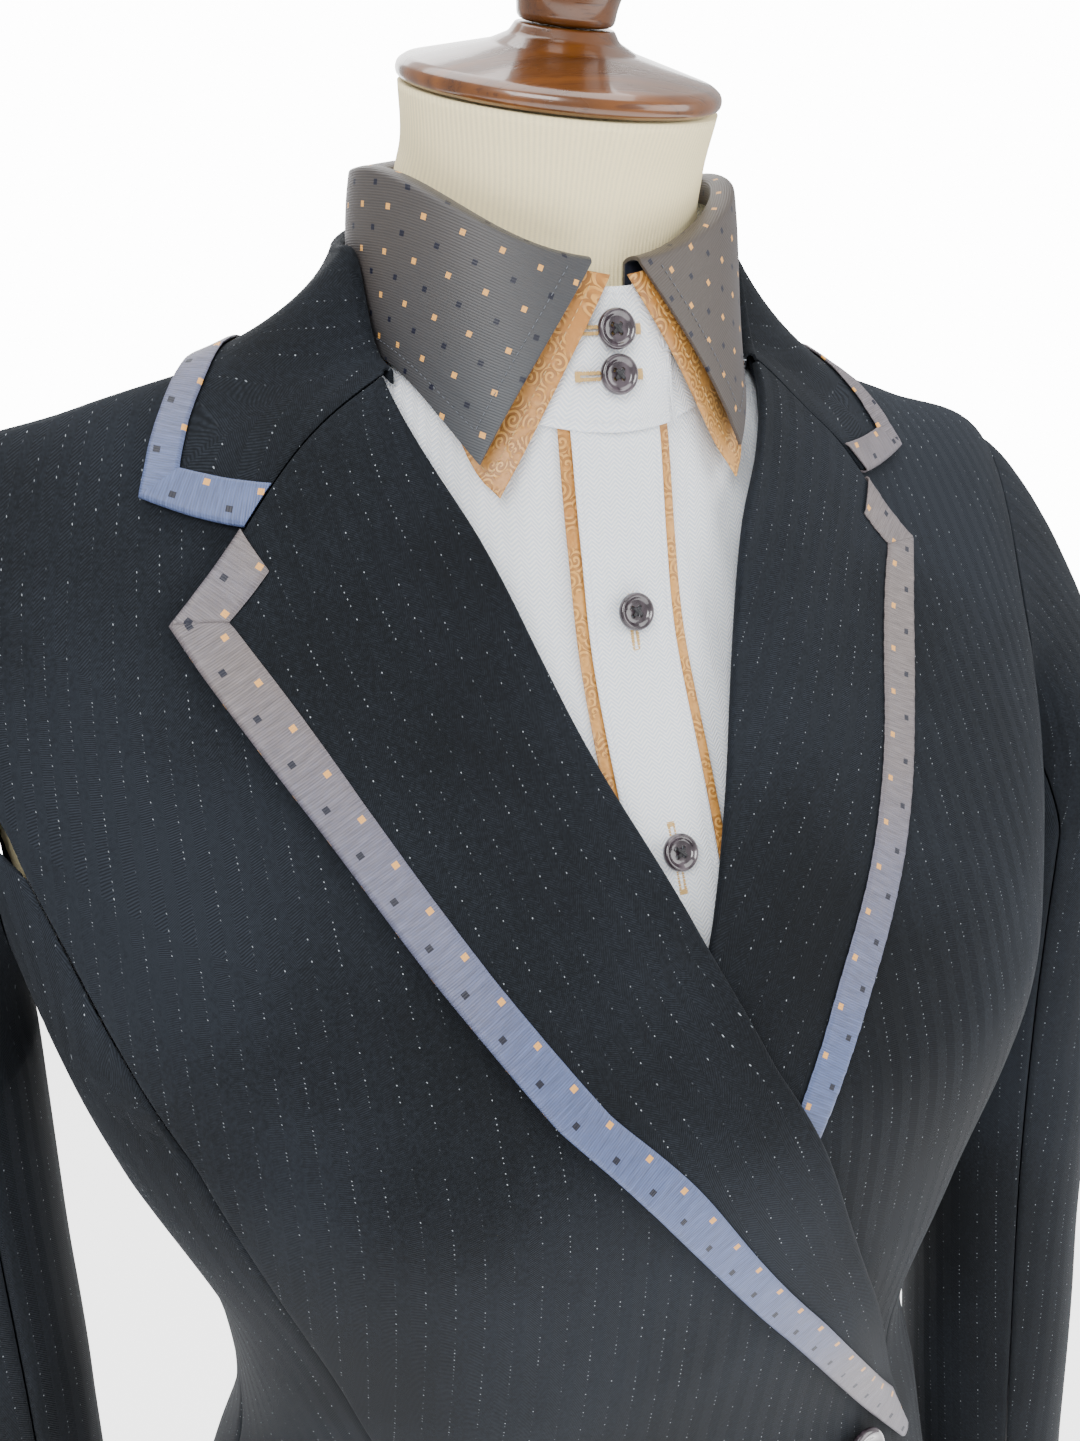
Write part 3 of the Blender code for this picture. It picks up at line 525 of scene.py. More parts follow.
def new_group(name: str, numbers: dict[str, float], results: Sequence[str]
              ) -> tuple[bpy.types.NodeTree, Graph, dict[str, Socket], bpy.types.Node]:
    """Starts a node group that reads a vector and some numbers.

    Args:
        name: The group's name.
        numbers: Its number inputs and their usual values.
        results: Its number outputs.

    Returns:
        The tree, a graph on it, its inputs by name, and its output node.
    """
    tree = bpy.data.node_groups.new(name, "ShaderNodeTree")
    tree.interface.new_socket("Vector", in_out="INPUT", socket_type="NodeSocketVector")
    for key, value in numbers.items():
        made = tree.interface.new_socket(key, in_out="INPUT", socket_type="NodeSocketFloat")
        made.default_value = value
    for key in results:
        tree.interface.new_socket(key, in_out="OUTPUT", socket_type="NodeSocketFloat")
    graph = Graph(tree)
    enter, leave = graph.node("NodeGroupInput"), graph.node("NodeGroupOutput")
    return tree, graph, {out.name: out for out in enter.outputs if out.name}, leave


class Weaves:
    """The node groups that more than one finish uses."""

    def __init__(self) -> None:
        """Builds every group."""
        self.pin_dots = self._pin_dots()
        self.chevron = self._chevron()
        self.squares = self._squares()
        self.ribs = self._ribs()
        self.mottle = self._mottle()
        self.scrolls = self._scrolls()

    @staticmethod
    def _pin_dots() -> bpy.types.NodeTree:
        """Stripes of single light stitches, some brighter than others."""
        tree, g, i, out = new_group("pin_dots", {"Spacing": 8.2, "Pitch": 2.1, "Size": 0.24},
                                    ["Mask"])
        x, y = g.split(i["Vector"])
        across = g.over(x, i["Spacing"])
        stripe = g.math("FLOOR", across)
        down = g.plus(g.over(y, i["Pitch"]), g.times(stripe, 0.37))
        dx = g.times(g.minus(g.math("FRACT", across), 0.5), i["Spacing"])
        dy = g.times(g.minus(g.math("FRACT", down), 0.5), g.times(i["Pitch"], 0.7))
        far = g.math("SQRT", g.plus(g.times(dx, dx), g.times(dy, dy)))
        cell = g.node("ShaderNodeCombineXYZ")
        g.feed(stripe, cell.inputs[0])
        g.feed(g.math("FLOOR", down), cell.inputs[1])
        luck = g.node("ShaderNodeTexWhiteNoise", noise_dimensions="2D")
        g.feed(cell.outputs[0], luck.inputs["Vector"])
        bright = g.math("POWER", luck.outputs["Value"], 4.5)
        dot = g.smooth(far, i["Size"], g.times(i["Size"], 0.4))
        g.feed(g.times(dot, bright), out.inputs["Mask"])
        return tree

    @staticmethod
    def _chevron() -> bpy.types.NodeTree:
        """Herringbone: diagonal threads that turn about at each column."""
        tree, g, i, out = new_group("chevron", {"Column": 4.75, "Pitch": 1.1, "Slope": 1.0},
                                    ["Height", "Column side"])
        x, y = g.split(i["Vector"])
        zig = g.math("PINGPONG", x, i["Column"])
        g.feed(g.wave(g.plus(y, g.times(zig, i["Slope"])), i["Pitch"]), out.inputs["Height"])
        half = g.math("FRACT", g.over(x, g.times(i["Column"], 2.0)))
        g.feed(g.math("GREATER_THAN", half, 0.5), out.inputs["Column side"])
        return tree

    @staticmethod
    def _squares() -> bpy.types.NodeTree:
        """Small woven squares in two colours on a staggered lattice."""
        tree, g, i, out = new_group("squares", {"Across": 15.0, "Along": 20.0, "Size": 2.5},
                                    ["Gold", "Navy"])
        x, y = g.split(i["Vector"])
        for shift, name in ((0.0, "Gold"), (0.5, "Navy")):
            inside = []
            for value, gap in ((x, i["Across"]), (y, i["Along"])):
                turn = g.math("FRACT", g.plus(g.over(value, gap), shift))
                off = g.times(g.math("ABSOLUTE", g.minus(turn, 0.5)), gap)
                inside.append(g.math("LESS_THAN", off, g.times(i["Size"], 0.5)))
            g.feed(g.times(*inside), out.inputs[name])
        return tree

    @staticmethod
    def _ribs() -> bpy.types.NodeTree:
        """Fine ribs across the cloth with a slub in them."""
        tree, g, i, out = new_group("ribs", {"Pitch": 0.7, "Slub": 0.35}, ["Height"])
        slub = g.noise(g.mapped(i["Vector"], 0.25, stretch=(0.35, 2.0, 1.0)), 1.0, 3.0)
        rib = g.wave(g.split(i["Vector"])[1], i["Pitch"])
        g.feed(g.plus(rib, g.times(slub, i["Slub"])), out.inputs["Height"])
        return tree

    @staticmethod
    def _mottle() -> bpy.types.NodeTree:
        """Slow and fine unevenness of dye and nap."""
        tree, g, i, out = new_group("mottle", {"Fine": 0.3}, ["Value"])
        slow = g.noise(i["Vector"], 9.0, 3.0)
        fine = g.noise(i["Vector"], 900.0, 2.0)
        g.feed(g.plus(slow, g.times(g.minus(fine, 0.5), i["Fine"])), out.inputs["Value"])
        return tree

    @staticmethod
    def _scrolls() -> bpy.types.NodeTree:
        """Tooled scrollwork: a spiral curling in each cell."""
        tree, g, i, out = new_group("scrolls", {"Cell": 6.0, "Coil": 1.5}, ["Height"])
        scaled = g.node("ShaderNodeVectorMath", operation="DIVIDE")
        g.feed(i["Vector"], scaled.inputs[0])
        cell = g.node("ShaderNodeCombineXYZ")
        for socket in cell.inputs:
            g.feed(i["Cell"], socket)
        g.feed(cell.outputs[0], scaled.inputs[1])
        grown = g.node("ShaderNodeTexVoronoi", voronoi_dimensions="2D")
        g.feed(scaled.outputs[0], grown.inputs["Vector"])
        grown.inputs["Scale"].default_value = 1.0
        away = g.node("ShaderNodeVectorMath", operation="SUBTRACT")
        g.feed(scaled.outputs[0], away.inputs[0])
        g.feed(grown.outputs["Position"], away.inputs[1])
        dx, dy = g.split(away.outputs[0])
        reach = g.over(g.times(grown.outputs["Distance"], i["Cell"]), i["Coil"])
        turned = g.plus(g.times(reach, math.tau), g.math("ARCTAN2", dy, dx))
        g.feed(g.smooth(g.math("SINE", turned), -0.2, 0.5), out.inputs["Height"])
        return tree


@lru_cache(maxsize=None)
def weaves() -> Weaves:
    """The shared node groups, built once."""
    return Weaves()


# ---------------------------------------------------------------- finishes

@dataclass(frozen=True)
class Finish:
    """A named surface: its material slot, colour, roughness, relief and shader's constants."""

    name: str
    slot: str
    colour: Colour
    roughness: float = 0.7
    relief: ClassVar[tuple[float, float]] = (0.0001, 0.5)  # depth in metres, share that shows
    constants: ClassVar[dict[str, object]] = {}

    def material(self) -> bpy.types.Material:
        """The finish's material, made the first time it is asked for."""
        made = bpy.data.materials.get(self.name)
        if made:
            return made
        made = bpy.data.materials.new(self.name)
        made.use_nodes = True
        shader = made.node_tree.nodes["Principled BSDF"]
        shader.inputs["Base Color"].default_value = (*self.colour, 1)
        shader.inputs["Roughness"].default_value = self.roughness
        for key, value in self.constants.items():
            shader.inputs[key].default_value = value
        self.dress(Graph(made.node_tree), shader)
        return made

    def dress(self, g: Graph, shader: bpy.types.Node) -> None:
        """Adds the finish's own nodes."""

    def surface(self, g: Graph, shader: bpy.types.Node, colour: Socket, rough: Socket,
                height: Socket) -> None:
        """Feeds the finished colour, roughness and relief to the shader.

        Args:
            g: The material's graph.
            shader: Its shader.
            colour: The colour.
            rough: The roughness.
            height: The relief, 0 to about 1.
        """
        bump = g.node("ShaderNodeBump")
        bump.inputs["Distance"].default_value, bump.inputs["Strength"].default_value = self.relief
        g.feed(height, bump.inputs["Height"])
        for value, key in ((colour, "Base Color"), (rough, "Roughness"),
                           (bump.outputs[0], "Normal")):
            g.feed(value, shader.inputs[key])

    @staticmethod
    def dye(g: Graph, fine: float) -> Socket:
        """Unevenness of colour, with a share of fine grit in it."""
        return g.use(weaves().mottle, Vector=g.place(), Fine=fine)["Value"]


@dataclass(frozen=True)
class Wool(Finish):
    """Near-black suiting with herringbone columns and pin-dot stripes."""

    lift: Colour = (0.021, 0.026, 0.035)
    shadow: Colour = (0.004, 0.005, 0.007)
    dot: Colour = (0.42, 0.46, 0.50)
    spacing: float = 8.2
    twill: float = 0.9
    relief = (0.00012, 0.7)
    constants = {"Sheen Weight": 0.035, "Sheen Roughness": 0.4,
                 "Sheen Tint": (0.62, 0.68, 0.78, 1), "Specular IOR Level": 0.16}

    def dress(self, g: Graph, shader: bpy.types.Node) -> None:
        """Weaves the herringbone, lays the stripes and raises the nap."""
        weave, dye = g.weave(), self.dye(g, 0.5)
        twill = g.use(weaves().chevron, Vector=weave, Column=self.spacing / 2, Pitch=self.twill,
                      Slope=1.15)
        dots = g.use(weaves().pin_dots, Vector=weave, Spacing=self.spacing)["Mask"]
        shade = g.times(g.smooth(dye, 0.25, 0.8), g.fit(twill["Height"], 0.75, 0.25))
        cloth = g.mix(shade, self.colour, self.lift)
        cloth = g.mix(g.times(twill["Column side"], 0.14), cloth, self.shadow)
        self.surface(g, shader, g.mix(dots, cloth, self.dot),
                     g.fit(dye, 0.25, self.roughness - 0.12),
                     g.plus(twill["Height"], g.times(dots, 2.0)))


@dataclass(frozen=True)
class Brocade(Finish):
    """Shot silk with woven gold and navy squares; its colour runs between its own and a bluer
    painted sheen colour, by a share of painted sheen laid at each point.
    """

    # Painted sheen: the bluer colour that the shot silk shows at some angles of light.
    cool: Colour = (0.070, 0.105, 0.235)
    gold: Colour = (0.64, 0.31, 0.07)
    navy: Colour = (0.0005, 0.0015, 0.012)
    # Painted shade: the colour that the rib grooves are darkened towards.
    groove: Colour = (0.02, 0.022, 0.03)
    slubs: float = 1.3
    across: float = 12.5
    along: float = 15.8
    square: float = 1.9
    rib: float = 0.75
    relief = (0.00011, 0.6)
    constants = {"Sheen Weight": 0.06, "Sheen Roughness": 0.35,
                 "Sheen Tint": (0.75, 0.80, 1.0, 1)}

    def dress(self, g: Graph, shader: bpy.types.Node) -> None:
        """Paints the shot silk's sheen by each point's share, sets the squares in it, ribs it and
        paints shade into the rib grooves.
        """
        weave = g.weave()
        # Each point's share of painted sheen, read from the piece.
        tone = g.node("ShaderNodeAttribute", attribute_name=PAINTED_SHEEN).outputs["Fac"]
        rib = g.use(weaves().ribs, Vector=weave, Pitch=self.rib)["Height"]
        dots = g.use(weaves().squares, Vector=weave, Across=self.across, Along=self.along,
                     Size=self.square)
        # Partly painted sheen and partly random unevenness of dye.
        share = g.plus(tone, g.times(g.minus(self.dye(g, 0.35), 0.5), 0.7))
        silk = g.mix(g.smooth(share, 0.0, 1.0), self.colour, self.cool)
        # Painted shade in the grooves between the ribs.
        silk = g.mix(g.fit(rib, -0.30, 0.36), silk, self.groove)
        slub = g.noise(g.mapped(weave, stretch=(0.12, 1.3, 1.0)), 1.0, 3.0)
        silk = g.mix(1.0, silk, g.fit(slub, self.slubs, 1 - self.slubs / 2), "MULTIPLY")
        silk = g.mix(dots["Navy"], g.mix(dots["Gold"], silk, self.gold), self.navy)
        raised = g.times(g.plus(dots["Gold"], dots["Navy"]), 1.6)
        self.surface(g, shader, silk, g.fit(rib, 0.12, self.roughness - 0.08),
                     g.plus(rib, raised))


@dataclass(frozen=True)
class Copper(Finish):
    """Copper-gold cloth tooled with small scrolls."""

    # Painted shade on the ground between the scrolls.
    hollow: Colour = (0.17, 0.062, 0.010)
    # Pale tone for the random unevenness, and the painted highlight on the raised scrolls.
    glint: Colour = (0.80, 0.44, 0.12)
    cell: float = 5.0
    coil: float = 1.7
    relief = (0.00022, 0.8)
    constants = {"Sheen Weight": 0.25, "Sheen Roughness": 0.4, "Sheen Tint": (1.0, 0.8, 0.5, 1)}

    def dress(self, g: Graph, shader: bpy.types.Node) -> None:
        """Presses the scrolls in, paints shade on the ground between them and paints a highlight on
        the raised scrolls.
        """
        weave = g.weave()
        shown = g.smooth(g.noise(weave, 0.16, 2.0), 0.40, 0.52)
        scroll = g.use(weaves().scrolls, Vector=weave, Cell=self.cell, Coil=self.coil)["Height"]
        scroll = g.times(scroll, shown)
        # Random unevenness of tone, towards a pale mix of the highlight colour.
        base = g.mix(g.smooth(self.dye(g, 0.5), 0.3, 0.75), self.colour,
                     g.mix(0.45, self.colour, self.glint))
        # Painted shade: the ground between the scrolls is darkened where they show.
        edge = g.times(g.minus(1.0, scroll), shown)
        base = g.mix(g.times(edge, 0.50), base, self.hollow)
        # Painted highlight on the raised scrolls.
        self.surface(g, shader, g.mix(g.times(scroll, 0.45), base, self.glint),
                     g.fit(scroll, -0.10, self.roughness), scroll)


@dataclass(frozen=True)
class Cotton(Finish):
    """White shirting woven in a zigzag."""

    shadow: Colour = (0.52, 0.62, 0.78)
    column: float = 2.3
    pitch: float = 1.35
    relief = (0.00022, 1.0)
    constants = {"Sheen Weight": 0.12, "Sheen Roughness": 0.4,
                 "Sheen Tint": (0.95, 0.97, 1.0, 1)}

    def dress(self, g: Graph, shader: bpy.types.Node) -> None:
        """Weaves the zigzag and its faint shading."""
        weave = g.weave()
        zig = g.use(weaves().chevron, Vector=weave, Column=self.column, Pitch=self.pitch,
                    Slope=1.0)
        rib = g.use(weaves().ribs, Vector=weave, Pitch=0.35, Slub=0.2)["Height"]
        line = g.smooth(zig["Height"], 0.25, 0.75)
        shade = g.times(g.fit(self.dye(g, 0.2), 0.3, 0.40), g.minus(1.0, line))
        self.surface(g, shader, g.mix(shade, self.colour, self.shadow),
                     g.fit(line, -0.18, self.roughness), g.plus(line, g.times(rib, 0.25)))


@dataclass(frozen=True)
class Jersey(Finish):
    """Cream knit stretched over the form, with upright ribs."""

    # Painted shade in the valleys between the ribs.
    valley: Colour = (0.60, 0.53, 0.36)
    pitch: float = 1.7
    course: float = 1.1
    relief = (0.00018, 0.6)
    constants = {"Sheen Weight": 0.05, "Sheen Roughness": 0.5,
                 "Sheen Tint": (1.0, 0.97, 0.88, 1)}

    def dress(self, g: Graph, shader: bpy.types.Node) -> None:
        """Knits the ribs and their loops, and paints shade into the valleys between the ribs."""
        x, y = g.split(g.weave())
        loop = g.math("SINE", g.times(y, math.tau / self.course))
        height = g.plus(g.wave(x, self.pitch), g.times(loop, 0.18))
        dye = self.dye(g, 0.6)
        # Painted shade in the valleys between the ribs, varied at random.
        low = g.times(g.minus(1.0, height), g.fit(dye, 0.5, 0.15))
        self.surface(g, shader, g.mix(low, self.colour, self.valley),
                     g.fit(dye, 0.10, self.roughness - 0.05), height)


@dataclass(frozen=True)
class Plain(Finish):
    """Fine plain cloth or thread: lining, satin or stitching."""

    shade: Colour = (0.01, 0.012, 0.02)
    rib: float = 0.4
    gloss: float = 0.15
    relief = (0.00006, 0.5)
    constants = {"Sheen Roughness": 0.3, "Sheen Tint": (0.8, 0.85, 1.0, 1)}

    def dress(self, g: Graph, shader: bpy.types.Node) -> None:
        """Ribs it by the piece's place and mottles its colour."""
        shader.inputs["Sheen Weight"].default_value = self.gloss
        fine = g.use(weaves().ribs, Vector=g.mapped(g.place(), 1000), Pitch=self.rib)["Height"]
        share = g.times(g.smooth(self.dye(g, 0.8), 0.2, 0.9), g.times(fine, 0.6))
        self.surface(g, shader, g.mix(share, self.colour, self.shade),
                     g.fit(fine, 0.1, self.roughness - 0.05), fine)


@dataclass(frozen=True)
class Horn(Finish):
    """Smoky polished button stock with a cloudy streak."""

    cloud: Colour = (0.085, 0.065, 0.078)
    relief = (0.00003, 0.3)
    constants = {"Coat Weight": 1.0, "Coat Roughness": 0.07}

    def dress(self, g: Graph, shader: bpy.types.Node) -> None:
        """Clouds the stock and polishes it."""
        streak = g.noise(g.mapped(g.place(), 1.0, 30, (260, 60, 160)), 1.0, 4.0)
        self.surface(g, shader, g.mix(g.smooth(streak, 0.35, 0.75), self.colour, self.cloud),
                     g.fit(self.dye(g, 0.5), 0.16, self.roughness - 0.05), streak)


@dataclass(frozen=True)
class Wood(Finish):
    """Varnished turned wood with its grain running across the piece."""

    dark: Colour = (0.030, 0.006, 0.001)
    light: Colour = (0.17, 0.052, 0.004)
    turn: float = 18.0
    relief = (0.00008, 0.35)
    constants = {"Coat Weight": 0.7, "Coat Roughness": 0.10}

    def dress(self, g: Graph, shader: bpy.types.Node) -> None:
        """Draws rings, pores and handling wear under a clear coat."""
        grained = [g.mapped(g.place(), 1.0, self.turn, stretch)
                   for stretch in ((14, 120, 60), (0.35, 1.0, 0.8), (60, 900, 900))]
        grain = g.noise(grained[0], 1.0, 4.0)
        wave = g.node("ShaderNodeTexWave", wave_type="BANDS", bands_direction="Y")
        for key, value in (("Vector", grained[1]), ("Scale", 42.0), ("Distortion", 3.0),
                           ("Detail", 3.0), ("Detail Scale", 1.4)):
            g.feed(value, wave.inputs[key])
        pore = g.smooth(g.noise(grained[2], 1.0, 2.0), 0.56, 0.70)
        body = g.mix(g.smooth(grain, 0.3, 0.75), self.colour, self.light)
        body = g.mix(g.times(wave.outputs["Fac"], 0.22), body, self.dark)
        self.surface(g, shader, g.mix(g.times(pore, 0.5), body, self.dark),
                     g.fit(grain, 0.22, self.roughness - 0.08),
                     g.minus(g.times(grain, 0.4), pore))


@dataclass(frozen=True)
class Steel(Finish):
    """Dark lacquered steel tube with rubbed streaks."""

    rubbed: Colour = (0.16, 0.16, 0.17)
    relief = (0.00003, 0.3)
    constants = {"Metallic": 0.85}

    def dress(self, g: Graph, shader: bpy.types.Node) -> None:
        """Rubs the lacquer in upright streaks."""
        streak = g.noise(g.mapped(g.place(), stretch=(500, 500, 9)), 1.0, 3.0)
        worn = g.smooth(g.noise(g.place(), 26.0, 4.0), 0.52, 0.68)
        self.surface(g, shader, g.mix(g.times(worn, streak), self.colour, self.rubbed),
                     g.fit(streak, 0.25, self.roughness - 0.1), streak)


@dataclass(frozen=True)
class Paper(Finish):
    """Matt studio paper, lit a little from below."""

    shade: Colour = (0.8, 0.8, 0.82)
    constants = {"Emission Color": (1, 1, 1, 1), "Emission Strength": 1.8}

    def dress(self, g: Graph, shader: bpy.types.Node) -> None:
        """Leaves the faintest cloud in it."""
        cloud = g.noise(g.place(), 3.0, 3.0)
        g.feed(g.mix(g.times(cloud, 0.05), self.colour, self.shade),
               shader.inputs["Base Color"])


WOOL = Wool("pin_dot_wool", "wool", (0.0022, 0.0032, 0.0046), 0.84)
LINING = Plain("jacket_lining", "wool", (0.012, 0.014, 0.022), 0.40, (0.03, 0.034, 0.05), 0.5,
               0.4)
BAND = Brocade("dotted_silk_band", "band_brocade", (0.150, 0.124, 0.118), 0.50)
LEAF = Brocade("dotted_silk_leaf", "collar_brocade", (0.062, 0.048, 0.038), 0.52,
               cool=(0.032, 0.040, 0.049), slubs=0.3, across=12.0, along=12.0, square=1.6)
NAVY = Plain("collar_backing", "collar_brocade", (0.008, 0.011, 0.022), 0.55,
             (0.02, 0.024, 0.04))
COPPER = Copper("tooled_copper", "copper_cloth", (0.40, 0.165, 0.030), 0.45)
COTTON = Cotton("zigzag_cotton", "cotton", (0.97, 0.98, 0.99), 0.62)
HORN = Horn("button_horn", "button", (0.022, 0.015, 0.020), 0.16)
JERSEY = Jersey("ribbed_jersey", "jersey", (0.95, 0.82, 0.47), 0.85)
WOOD = Wood("varnished_wood", "wood", (0.075, 0.022, 0.0009), 0.26)
STEEL = Steel("lacquered_steel", "pole", (0.03, 0.03, 0.034), 0.38)
GOLD_THREAD = Plain("gold_thread", "copper_cloth", (0.52, 0.32, 0.10), 0.40,
                    (0.72, 0.52, 0.24), 0.2, 0.5)
WHITE_THREAD = Plain("white_thread", "cotton", (0.82, 0.84, 0.88), 0.50, (0.6, 0.63, 0.70), 0.2)
PALE_THREAD = Plain("pale_thread", "collar_brocade", (0.10, 0.11, 0.13), 0.50,
                    (0.06, 0.06, 0.08), 0.1)
BLACK_THREAD = Plain("black_thread", "button", (0.006, 0.006, 0.008), 0.50,
                     (0.03, 0.03, 0.035), 0.2)
STUDIO = Paper("studio_paper", "stage", (0.90, 0.90, 0.90), 0.95)


# ---------------------------------------------------------------- sheets, turnings, threads

def grid_place(vert: bmesh.types.BMVert, wide: int, deep: int) -> tuple[int, int]:
    """Column and row of a vertex in a grid of size 0.5 that is still flat."""
    return round((vert.co.x + 0.5) * wide), round((vert.co.y + 0.5) * deep)


def linked(name: str, data: bpy.types.ID) -> bpy.types.Object:
    """A new object of some data, put in the scene."""
    obj = bpy.data.objects.new(name, data)
    bpy.context.scene.collection.objects.link(obj)
    return obj


@dataclass(frozen=True)
class Grain:
    """How a sheet was cut from its cloth.

    column is the share across the sheet that lies on the straight grain, unless plumb gives
    the X in mm of a warp thread that hangs plumb. turn turns the cloth under the pattern.
    """

    column: float = 0.5
    plumb: float | None = None
    turn: float = 0.0
    shift: tuple[float, float] = (0.0, 0.0)


@dataclass
class Sheet:
    """The sheet of cloth of a CAD node, cut as a grid and put in place point by point."""

    node: str
    place: Place
    columns: Sequence[float]
    rows: Sequence[float]
    outward: Callable[[Vector], Vector] = lambda c: Vector((c.x, c.y, 0))
    grain: Grain = Grain()
    # Each point's share of painted sheen, for brocade pieces.
    tone: Callable[[float, float], float] | None = None
    wall: float = 1.0
    even: bool = True

    def spots(self) -> list[list[Vector]]:
        """Every point of the sheet in mm, by row."""
        return [[self.place(u, v) for u in self.columns] for v in self.rows]

    def laid(self, spots: list[list[Vector]]) -> tuple[list[list[Vector]], float, float, float]:
        """Lays the sheet flat.

        Args:
            spots: Its points in place.

        Returns:
            The flat points by row in mm, its greatest width and length, and its area.
        """
        flat, down = [], [0.0] * len(self.columns)
        widest = area = 0.0
        middle = min(len(self.columns) - 2, max(1, round(self.grain.column * len(self.columns))))
        for j, row in enumerate(spots):
            run = running(row)
            if j:
                down = [d + (p - q).length for d, p, q in zip(down, row, spots[j - 1])]
                area += sum((row[i] - spots[j - 1][i + 1]).cross(row[i + 1] - spots[j - 1][i])
                            .length / 2 for i in range(len(row) - 1))
            widest = max(widest, run[-1])
            if self.grain.plumb is None:
                after, before = spots[min(j + 1, len(spots) - 1)], spots[max(j - 1, 0)]
                lean = ((row[middle + 1] - row[middle - 1]).normalized()
                        .dot((after[middle] - before[middle]).normalized()))
                square = math.sqrt(max(0.0, 1 - lean * lean))
                flat.append([Vector(((r - run[middle]) * square,
                                     down[middle] + (r - run[middle]) * lean)) for r in run])
            else:
                warp = self.warp_at(row, run)
                flat.append([Vector((r - warp, d)) for r, d in zip(run, down)])
        turn = Matrix.Rotation(math.radians(self.grain.turn), 2)
        shift = Vector(self.grain.shift)
        return [[turn @ p + shift for p in row] for row in flat], widest, max(down), area

    def warp_at(self, row: list[Vector], run: list[float]) -> float:
        """Distance along a row at which its plumb warp thread crosses."""
        plumb = self.grain.plumb
        pairs = sorted(zip([p.x for p in row], run))
        xs = [p[0] for p in pairs]
        for (x0, r0), (x1, r1) in zip(pairs, pairs[1:]):
            if x0 <= plumb <= x1 and x1 > x0:
                return lerp(r0, r1, (plumb - x0) / (x1 - x0))
        near = 0 if plumb < xs[0] else -1
        return pairs[near][1] + (plumb - xs[near]) * (1 if pairs[-1][1] > pairs[0][1] else -1)

    def cut(self, finish: Finish, held: Held, rests_on: Sequence[str],
            lining: Finish | None = None) -> None:
        """Args:
            finish: Outside finish.
            held: How it is held; not used.
            rests_on: What it lies on or hangs from; not used.
            lining: Inside finish, where it differs.
        """
        spots = self.spots()
        flat, width, length, area = self.laid(spots)
        bm = bmesh.new()
        wide, deep = len(self.columns) - 1, len(self.rows) - 1
        bmesh.ops.create_grid(bm, x_segments=wide, y_segments=deep, size=0.5)
        painted_sheens = bm.verts.layers.float.new(PAINTED_SHEEN)
        where = {}
        for vert in bm.verts:
            i, j = grid_place(vert, wide, deep)
            where[vert] = flat[j][i] * MM
            vert.co = spots[j][i] * MM
            # Writes each point's share of painted sheen.
            if self.tone:
                vert[painted_sheens] = self.tone(self.columns[i], self.rows[j])
        weave = bm.loops.layers.uv.new(WEAVE)
        for face in bm.faces:
            for loop in face.loops:
                loop[weave].uv = where[loop.vert]
        bm.normal_update()
        facing = sum(f.normal.dot(self.outward(f.calc_center_median() / MM)) * f.calc_area()
                     for f in bm.faces)
        if facing < 0:
            bmesh.ops.reverse_faces(bm, faces=bm.faces)
        obj = put(f"{self.node}_cloth", bm, [finish, lining or finish], [self.node])
        wall = obj.modifiers.new("wall", "SOLIDIFY")
        wall.thickness, wall.offset = self.wall * MM, -1
        wall.use_even_offset = self.even
        wall.material_offset = 1 if lining else 0
        edge = obj.modifiers.new("edge", "BEVEL")
        edge.width, edge.segments = 0.3 * self.wall * MM, 2
        edge.limit_method, edge.angle_limit = "ANGLE", math.radians(55)
        width = max(width, MIN_FLAT)
        box = width * length
        min(max(area, 0.3 * box), box) * MM * MM


def put(name: str, bm: bmesh.types.BMesh, finishes: Sequence[Finish],
        nodes: Sequence[str] = ()) -> bpy.types.Object:
    """Makes a piece of a finished bmesh and hides the CAD nodes that it stands for.

    Args:
        name: The piece's name.
        bm: Its mesh, which is used up.
        finishes: One finish for each material number in it, the main one first.
        nodes: CAD nodes that it stands for.

    Returns:
        The piece.
    """
    mesh = bpy.data.meshes.new(name)
    bm.to_mesh(mesh)
    bm.free()
    for finish in finishes:
        mesh.materials.append(finish.material())
    mesh.shade_smooth()
    obj = linked(name, mesh)
    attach(obj, "root")
    if nodes:
        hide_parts(*nodes)
    LOG.info("%s: %d faces", name, len(mesh.polygons))
    return obj


def turn(profile: Sequence[tuple[float, float]], steps: int) -> bmesh.types.BMesh:
    """Spins a profile of (radius, height) about the upright axis.

    Args:
        profile: Its points, in mm.
        steps: Steps round the axis.

    Returns:
        The mesh, in metres, closed where the profile ends on the axis.
    """
    bm = bmesh.new()
    line = [bm.verts.new((r * MM, 0, z * MM)) for r, z in profile]
    edges = [bm.edges.new(pair) for pair in zip(line, line[1:])]
    bmesh.ops.spin(bm, geom=line + edges, axis=UP, cent=(0, 0, 0), angle=math.tau, steps=steps,
                   use_merge=True)
    bmesh.ops.remove_doubles(bm, verts=bm.verts, dist=0.00002)
    bmesh.ops.recalc_face_normals(bm, faces=bm.faces)
    return bm


def rounded(profile: Sequence[tuple[float, float]], reach: float) -> list[tuple[float, float]]:
    """A profile with each inner corner rounded over a reach, in mm."""
    soft = [profile[0]]
    for a, b, c in zip(profile, profile[1:], profile[2:]):
        before, corner, after = Vector(a), Vector(b), Vector(c)
        cut_in = min(reach, (corner - before).length / 2.2)
        cut_out = min(reach, (after - corner).length / 2.2)
        start = corner + (before - corner).normalized() * cut_in
        stop = corner + (after - corner).normalized() * cut_out
        for t in (0.0, 0.25, 0.5, 0.75, 1.0):
            soft.append(tuple(lerp(lerp(start, corner, t), lerp(corner, stop, t), t)))
    return soft + [profile[-1]]


